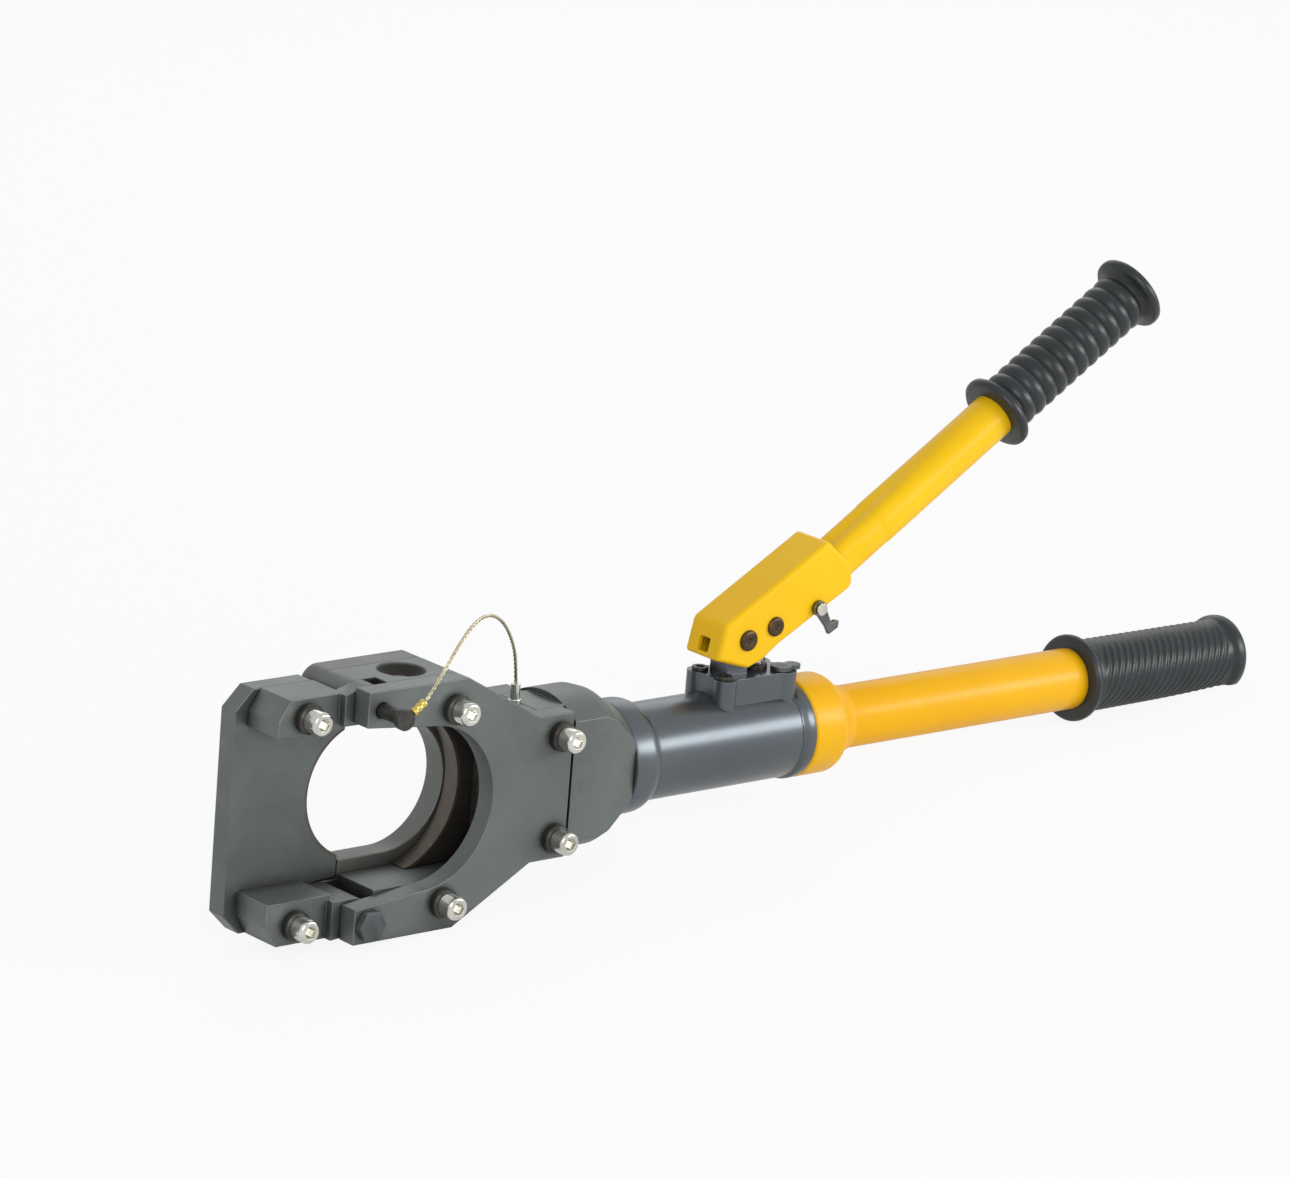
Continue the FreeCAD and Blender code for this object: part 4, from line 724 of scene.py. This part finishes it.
def make_handle_tube():
    low, high = in_mm("reservoir_tube")
    bm = lathe([(low[0], TUBE_BORE_R), (low[0], TUBE_R), (high[0], TUBE_R), (high[0], TUBE_BORE_R)])
    round_edges(bm, sharp_edges(bm), 0.4)
    return finish_part("handle_tube", bm, TUBE_YELLOW, HEAD, ["reservoir_tube"])


print(make_coupling().name, make_handle_tube().name)

# %% [markdown]
# ## The handle's grip
# The fixed grip is thick rubber with a wide flange near the tube and a rolled end. Its skin carries
# fine slanted ribs. We spin a close-ringed profile, then move each vertex in or out by a wave that
# runs along the grip and round it at once, which is exactly what a many-start screw thread is.

# %% Fixed grip
SLANT_PITCH = 5.2
SLANT_STARTS = 10
SLANT_DEPTH = 1.0
GRIP_BODY_R = 21.0
GRIP_RINGS = 150


def faded(value, low, high, soft):
    """1 between low and high, and 0 outside them, with soft ends."""
    inside = min((value - low) / soft, (high - value) / soft)
    inside = min(max(inside, 0.0), 1.0)
    return inside * inside * (3 - 2 * inside)


def make_handle_grip():
    low, high = in_mm("fixed_grip")
    flange_r = high[1]
    body_r = GRIP_BODY_R
    start, end = low[0], high[0]
    bore = TUBE_R + 0.05
    profile = [(start, bore), (start, flange_r - 2.2), (start + 0.6, flange_r - 0.8),
               (start + 1.8, flange_r - 0.1), (start + 3, flange_r), (start + 4.4, flange_r - 0.3),
               (start + 5.6, flange_r - 1.4), (start + 6.4, flange_r - 2.8),
               (start + 8, body_r + 0.1), (start + 9, body_r - 0.4)]
    first, last = start + 10, end - 11
    profile += [(first + (last - first) * step / GRIP_RINGS, body_r - 0.1 - 0.7 * step / GRIP_RINGS)
                for step in range(GRIP_RINGS + 1)]
    profile += [(end - 9, body_r - 0.6), (end - 7.6, 21.8), (end - 5.8, 22.4), (end - 3.4, 22.5),
                (end - 1.4, 22.1), (end - 0.4, 21.2), (end, 19.6), (end, 12), (end - 0.6, 8),
                (end - 0.6, 0)]
    inner_end = in_mm("reservoir_tube")[1][0] + 0.3
    profile += [(inner_end, 0), (inner_end, bore)]
    bm = lathe(profile, steps=160)
    for vertex in bm.verts:
        x = vertex.co.x / MM
        radius = math.hypot(vertex.co.y, vertex.co.z) / MM
        if radius < bore + 0.5 or x > last + 1:
            continue
        turn = math.atan2(vertex.co.z, vertex.co.y)
        wave = 0.5 - 0.5 * math.cos(2 * math.pi * x / SLANT_PITCH + SLANT_STARTS * turn)
        sunk = SLANT_DEPTH * wave ** 1.5 * faded(x, first, last, 4)
        vertex.co.yz = vertex.co.yz * ((radius - sunk) / radius)
    return finish_part("handle_grip", bm, GRIP_RUBBER, HEAD, ["fixed_grip"], 50)


print(make_handle_grip().name)

# %% [markdown]
# ## The lever's grip
# The moving grip has bold rings for the palm. Each ring is a rounded hump with a sharp valley beside
# it, so the profile is a row of humps between two flanges. The grip is spun level at the origin and
# then raised with the lever, about the lever's pivot.

# %% Lever grip
LEVER_AXIS_V = -8.9
GRIP_U = 209.7
GRIP_LENGTH = 118.0
GRIP_R = 16.5
GRIP_FLANGE_R = 22.0
RIBS = 11


def flange_profile(start, radius, thick):
    """The rounded outside of a flange, from its first face to its last."""
    return [(start, radius - 2.4), (start + 0.35, radius - 1.2), (start + 1.3, radius - 0.25),
            (start + thick / 2, radius), (start + thick - 1.3, radius - 0.25),
            (start + thick - 0.35, radius - 1.2), (start + thick, radius - 2.4)]


def make_lever_grip():
    end = GRIP_U + GRIP_LENGTH
    bore = 13.05
    ribs_start, ribs_end = GRIP_U + 10, end - 9
    pitch = (ribs_end - ribs_start) / RIBS
    profile = [(GRIP_U, bore)] + flange_profile(GRIP_U, GRIP_FLANGE_R, 6.0)
    profile += [(GRIP_U + 6.8, GRIP_R - 0.6), (GRIP_U + 8.2, GRIP_R - 1.3)]
    for rib in range(RIBS):
        start = ribs_start + rib * pitch
        profile += [(start + pitch * step / 8, GRIP_R - 1.9 + 1.9 * math.sin(math.pi * step / 8) ** 0.7)
                    for step in range(8)]
    profile += [(ribs_end, GRIP_R - 1.9), (end - 7.4, GRIP_R - 1.0)]
    profile += flange_profile(end - 6.0, GRIP_FLANGE_R, 6.0)
    profile += [(end, 14), (end - 0.7, 10), (end - 0.7, 0), (end - 9.5, 0), (end - 9.5, bore)]
    bm = lathe(profile)
    bmesh.ops.translate(bm, vec=(0, 0, LEVER_AXIS_V * MM), verts=bm.verts)
    raise_lever(bm)
    return finish_part("ribbed_lever_grip", bm, GRIP_RUBBER, "lever", ["lever_grip"], 50)


print(make_lever_grip().name)

# %% [markdown]
# ## The lever's tube
# The tube is squeezed flat where the fork clasps it, and a trough is pressed into its top there, so
# two long ridges run out of the fork and fade. We spin a plain tube with many rings and then push
# its vertices: each ring knows how far along the lever it is, and so how deep the press went.

# %% Lever tube
TUBE_U = 54.7
FORK_HALF = 14.0
FORK_INNER = 11.45
PRESS_END_U = 185.0
PRESS_START_U = 80.0
LEVER_TUBE_R = 13.0
FLAT_RELIEF = 0.35
FREE_U = 110
TUBE_RINGS = 160
TROUGH_DEPTH, TROUGH_HALF = 3.0, 4.2
RIDGE_HEIGHT, RIDGE_HALF, RIDGE_PLACE = 0.45, 2.4, 8.2


def pressed(u, turn, radius):
    """The tube's radius after the press: a trough along the top with a ridge at each side."""
    along = 1 - min(max((u - PRESS_START_U) / (PRESS_END_U - PRESS_START_U), 0.0), 1.0)
    across = radius * math.cos(turn)
    if math.sin(turn) < 0:
        return radius
    trough = math.exp(-(across / TROUGH_HALF) ** 2) * TROUGH_DEPTH
    ridges = math.exp(-((abs(across) - RIDGE_PLACE) / RIDGE_HALF) ** 2) * RIDGE_HEIGHT
    depth = along * along * (3 - 2 * along)
    return radius - depth * (trough - ridges)


def make_lever_tube():
    end = GRIP_U + GRIP_LENGTH - 10
    profile = [(TUBE_U + (end - TUBE_U) * step / TUBE_RINGS, LEVER_TUBE_R - FLAT_RELIEF)
               for step in range(TUBE_RINGS + 1)]
    bore = FORK_INNER - 2.6
    bm = lathe([(TUBE_U, bore)] + profile + [(end, bore)])
    for vertex in bm.verts:
        u = vertex.co.x / MM
        radius = math.hypot(vertex.co.y, vertex.co.z) / MM
        if radius < LEVER_TUBE_R - 1:
            continue
        turn = math.atan2(vertex.co.z, vertex.co.y)
        bulge = LEVER_TUBE_R if u > FREE_U else LEVER_TUBE_R - FLAT_RELIEF
        new_radius = pressed(u, turn, bulge)
        y, z = new_radius * math.cos(turn), new_radius * math.sin(turn)
        squeeze = FORK_INNER + max(0.0, u - 86) * 0.12
        vertex.co.y = max(-squeeze, min(squeeze, y)) * MM
        vertex.co.z = z * MM
    bmesh.ops.translate(bm, vec=(0, 0, LEVER_AXIS_V * MM), verts=bm.verts)
    raise_lever(bm)
    return finish_part("pressed_lever_tube", bm, LEVER_YELLOW, "lever", ["lever_tube"], 50)


print(make_lever_tube().name)

# %% [markdown]
# ## Fork pins
# Two cross pins carry the lever. Each has a shallow domed head with a lathe dimple in its centre,
# and sits in a thin dark ring where the paint stops. They are turned pieces too, so they are spun
# about X and then stood across the lever.

# %% Fork pins
PIN_R = 4.5
PLUNGER_PIN_PLACE = (18.9, -5.3)


def make_pin(name, place, head_r, node):
    tail = FORK_HALF + 2.4
    head = -FORK_HALF - 2.0
    profile = [(tail, 0), (tail, PIN_R - 0.6), (tail - 0.6, PIN_R), (-FORK_HALF, PIN_R), (-FORK_HALF, head_r),
               (head + 1.0, head_r), (head + 0.35, head_r - 0.45), (head + 0.05, head_r - 1.4),
               (head, head_r - 2.0), (head + 0.25, 1.6), (head + 1.1, 0.9), (head + 1.2, 0)]
    bm = lathe(profile, closed=False, steps=64)
    turn = Matrix.Rotation(math.radians(90), 4, "Z")
    stand = Matrix.Translation((place[0] * MM, 0, place[1] * MM))
    bmesh.ops.transform(bm, matrix=stand @ turn, verts=bm.verts)
    raise_lever(bm)
    return finish_part(name, bm, PIN_STEEL, "lever", [node], 40)


print(make_pin("pivot_pin", (0, 0), 5.8, "lever_pivot_pin").name)
print(make_pin("plunger_cross_pin", PLUNGER_PIN_PLACE, 5.4, "plunger_pin").name)

# %% [markdown]
# ## The crimped sleeve
# The lanyard's rope is swaged into a brass sleeve. A swaging tool squeezes it at two places, so the
# sleeve is spun with two waists and rounded lips. It is aimed from the latch pin's head to the first
# point of the rope.

# %% Crimp
SLEEVE_START = Vector((-25.2, -48.7, 60.19)) * MM
SLEEVE_AIM = Vector((0.82, 0, 0.56)).normalized()


def make_crimp():
    profile = [(1.0, 0), (1.0, 1.9), (1.3, 2.3), (2.4, 2.4), (3.1, 2.1), (3.6, 1.95), (4.1, 2.1),
               (5.0, 2.4), (5.8, 2.4), (6.6, 2.1), (7.1, 1.95), (7.6, 2.1), (8.6, 2.4), (9.6, 2.35),
               (9.95, 1.9), (9.9, 1.1), (9.4, 0.9), (9.4, 0)]
    bm = lathe(profile, closed=False, steps=40)
    turn = Vector((1, 0, 0)).rotation_difference(SLEEVE_AIM).to_matrix().to_4x4()
    bmesh.ops.transform(bm, matrix=Matrix.Translation(SLEEVE_START) @ turn, verts=bm.verts)
    return finish_part("brass_sleeve", bm, BRASS, "latch", ["lanyard_crimp"], 50)


print(make_crimp().name)

# %% [markdown]
# ## Finishes for the hidden parts
# The rod, piston, spring and valves hide inside the cylinder until the tool is taken apart or the
# ram comes forward. They keep their construction shapes, which are already right, and only get the
# finish of their own slot.

# %% Hidden parts
KEPT = {
    "ram_rod": CHROME, "piston": TOOL_STEEL, "piston_seal": SEAL_RUBBER, "return_spring": SPRING,
    "rod_gland": BRASS, "valve_body": OXIDE, "check_valves": ZINC, "oil_bladder": SEAL_RUBBER,
    "pump_plunger": CHROME, "release_spindle": OXIDE, "blade_screws": OXIDE,
}
for node, material in KEPT.items():
    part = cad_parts[node]
    for slot in part.material_slots:
        slot.material = material
print("kept construction shapes:", len(KEPT))

# %% [markdown]
# ## Floor and light
# The tool stands on a pale studio floor, with one big soft lamp in front on the left and a weaker one
# behind. A long lamp on the right, level with the tool, draws the bright band that makes a polished
# cylinder look round. The world is an even grey to the surfaces, but white to the camera and to
# mirrors, so that bright metal shows a white room without any more light falling on the paint.

# %% Floor
FLOOR_TILT = math.radians(5.2)
HEAD_CORNER = (27 * MM, 0, -68 * MM)
FLOOR_SIZE = 16.0
FLOOR_WHITE = 0.9
MIRROR_WHITE = 0.5


def white_to_camera(tree, inner, camera_share, mirror_share, target):
    """Mixes plain white into a surface, for camera rays and for mirror and glass rays only."""
    def joined(operation, first, second):
        node = tree.nodes.new("ShaderNodeMath")
        node.operation = operation
        for socket, value in zip(node.inputs, (first, second)):
            if isinstance(value, float):
                socket.default_value = value
            else:
                tree.links.new(value, socket)
        return node.outputs[0]

    rays = tree.nodes.new("ShaderNodeLightPath")
    mirrored = joined("MAXIMUM", rays.outputs["Is Glossy Ray"], rays.outputs["Is Transmission Ray"])
    share = joined("MAXIMUM", joined("MULTIPLY", rays.outputs["Is Camera Ray"], camera_share),
                   joined("MULTIPLY", mirrored, mirror_share))
    white = tree.nodes.new("ShaderNodeEmission" if inner.name == "BSDF" else "ShaderNodeBackground")
    white.inputs["Color"].default_value = (1, 1, 1, 1)
    mix = tree.nodes.new("ShaderNodeMixShader")
    tree.links.new(share, mix.inputs[0])
    tree.links.new(inner, mix.inputs[1])
    tree.links.new(white.outputs[0], mix.inputs[2])
    tree.links.new(mix.outputs[0], target)


def make_floor():
    bm = bmesh.new()
    bmesh.ops.create_grid(bm, x_segments=1, y_segments=1, size=FLOOR_SIZE)
    tilt = Matrix.Translation(HEAD_CORNER) @ Matrix.Rotation(-FLOOR_TILT, 4, "Y")
    bmesh.ops.transform(bm, matrix=tilt, verts=bm.verts)
    mesh = bpy.data.meshes.new("studio_floor")
    bm.to_mesh(mesh)
    bm.free()
    material = bpy.data.materials.new("studio_floor")
    material.use_nodes = True
    tree = material.node_tree
    shader = tree.nodes["Principled BSDF"]
    shader.inputs["Base Color"].default_value = (0.86, 0.86, 0.86, 1)
    shader.inputs["Roughness"].default_value = 0.9
    shader.inputs["Specular IOR Level"].default_value = 0.1
    surface = tree.nodes["Material Output"].inputs["Surface"]
    white_to_camera(tree, shader.outputs["BSDF"], FLOOR_WHITE, MIRROR_WHITE, surface)
    mesh.materials.append(material)
    floor = bpy.data.objects.new("studio_floor", mesh)
    SCENE.collection.objects.link(floor)
    return floor


print(make_floor().name)

# %% Lamps and world
def soft_lamp(name, place, aim, size, power):
    lamp = bpy.data.objects.new(name, bpy.data.lights.new(name, "AREA"))
    lamp.data.shape = "RECTANGLE"
    lamp.data.size, lamp.data.size_y = size
    lamp.data.energy = power
    lamp.location = place
    back = (Vector(place) - Vector(aim)).normalized()
    along_tool = (Vector((1, 0, 0)) - back * back.x).normalized()
    lamp.rotation_euler = Matrix((along_tool, back.cross(along_tool), back)).transposed().to_euler()
    SCENE.collection.objects.link(lamp)
    return lamp


def make_world():
    world = bpy.data.worlds.new("studio")
    world.use_nodes = True
    tree = world.node_tree
    ambient = tree.nodes["Background"]
    ambient.inputs["Color"].default_value = (0.55, 0.55, 0.56, 1)
    surface = tree.nodes["World Output"].inputs["Surface"]
    white_to_camera(tree, ambient.outputs["Background"], 1.0, MIRROR_WHITE, surface)
    SCENE.world = world
    return world


AIM = (0.2, 0, 0.05)
soft_lamp("key_lamp", (-1.2, -1.8, 1.0), AIM, (1.2, 1.2), 15)
soft_lamp("band_lamp", (1.74, -1.66, 0.87), AIM, (1.6, 0.7), 24)
soft_lamp("rim_lamp", (1.3, 1.4, 1.3), AIM, (1.2, 1.2), 4)
make_world()
SCENE.view_settings.view_transform = "Standard"
print("lamps and world ready")
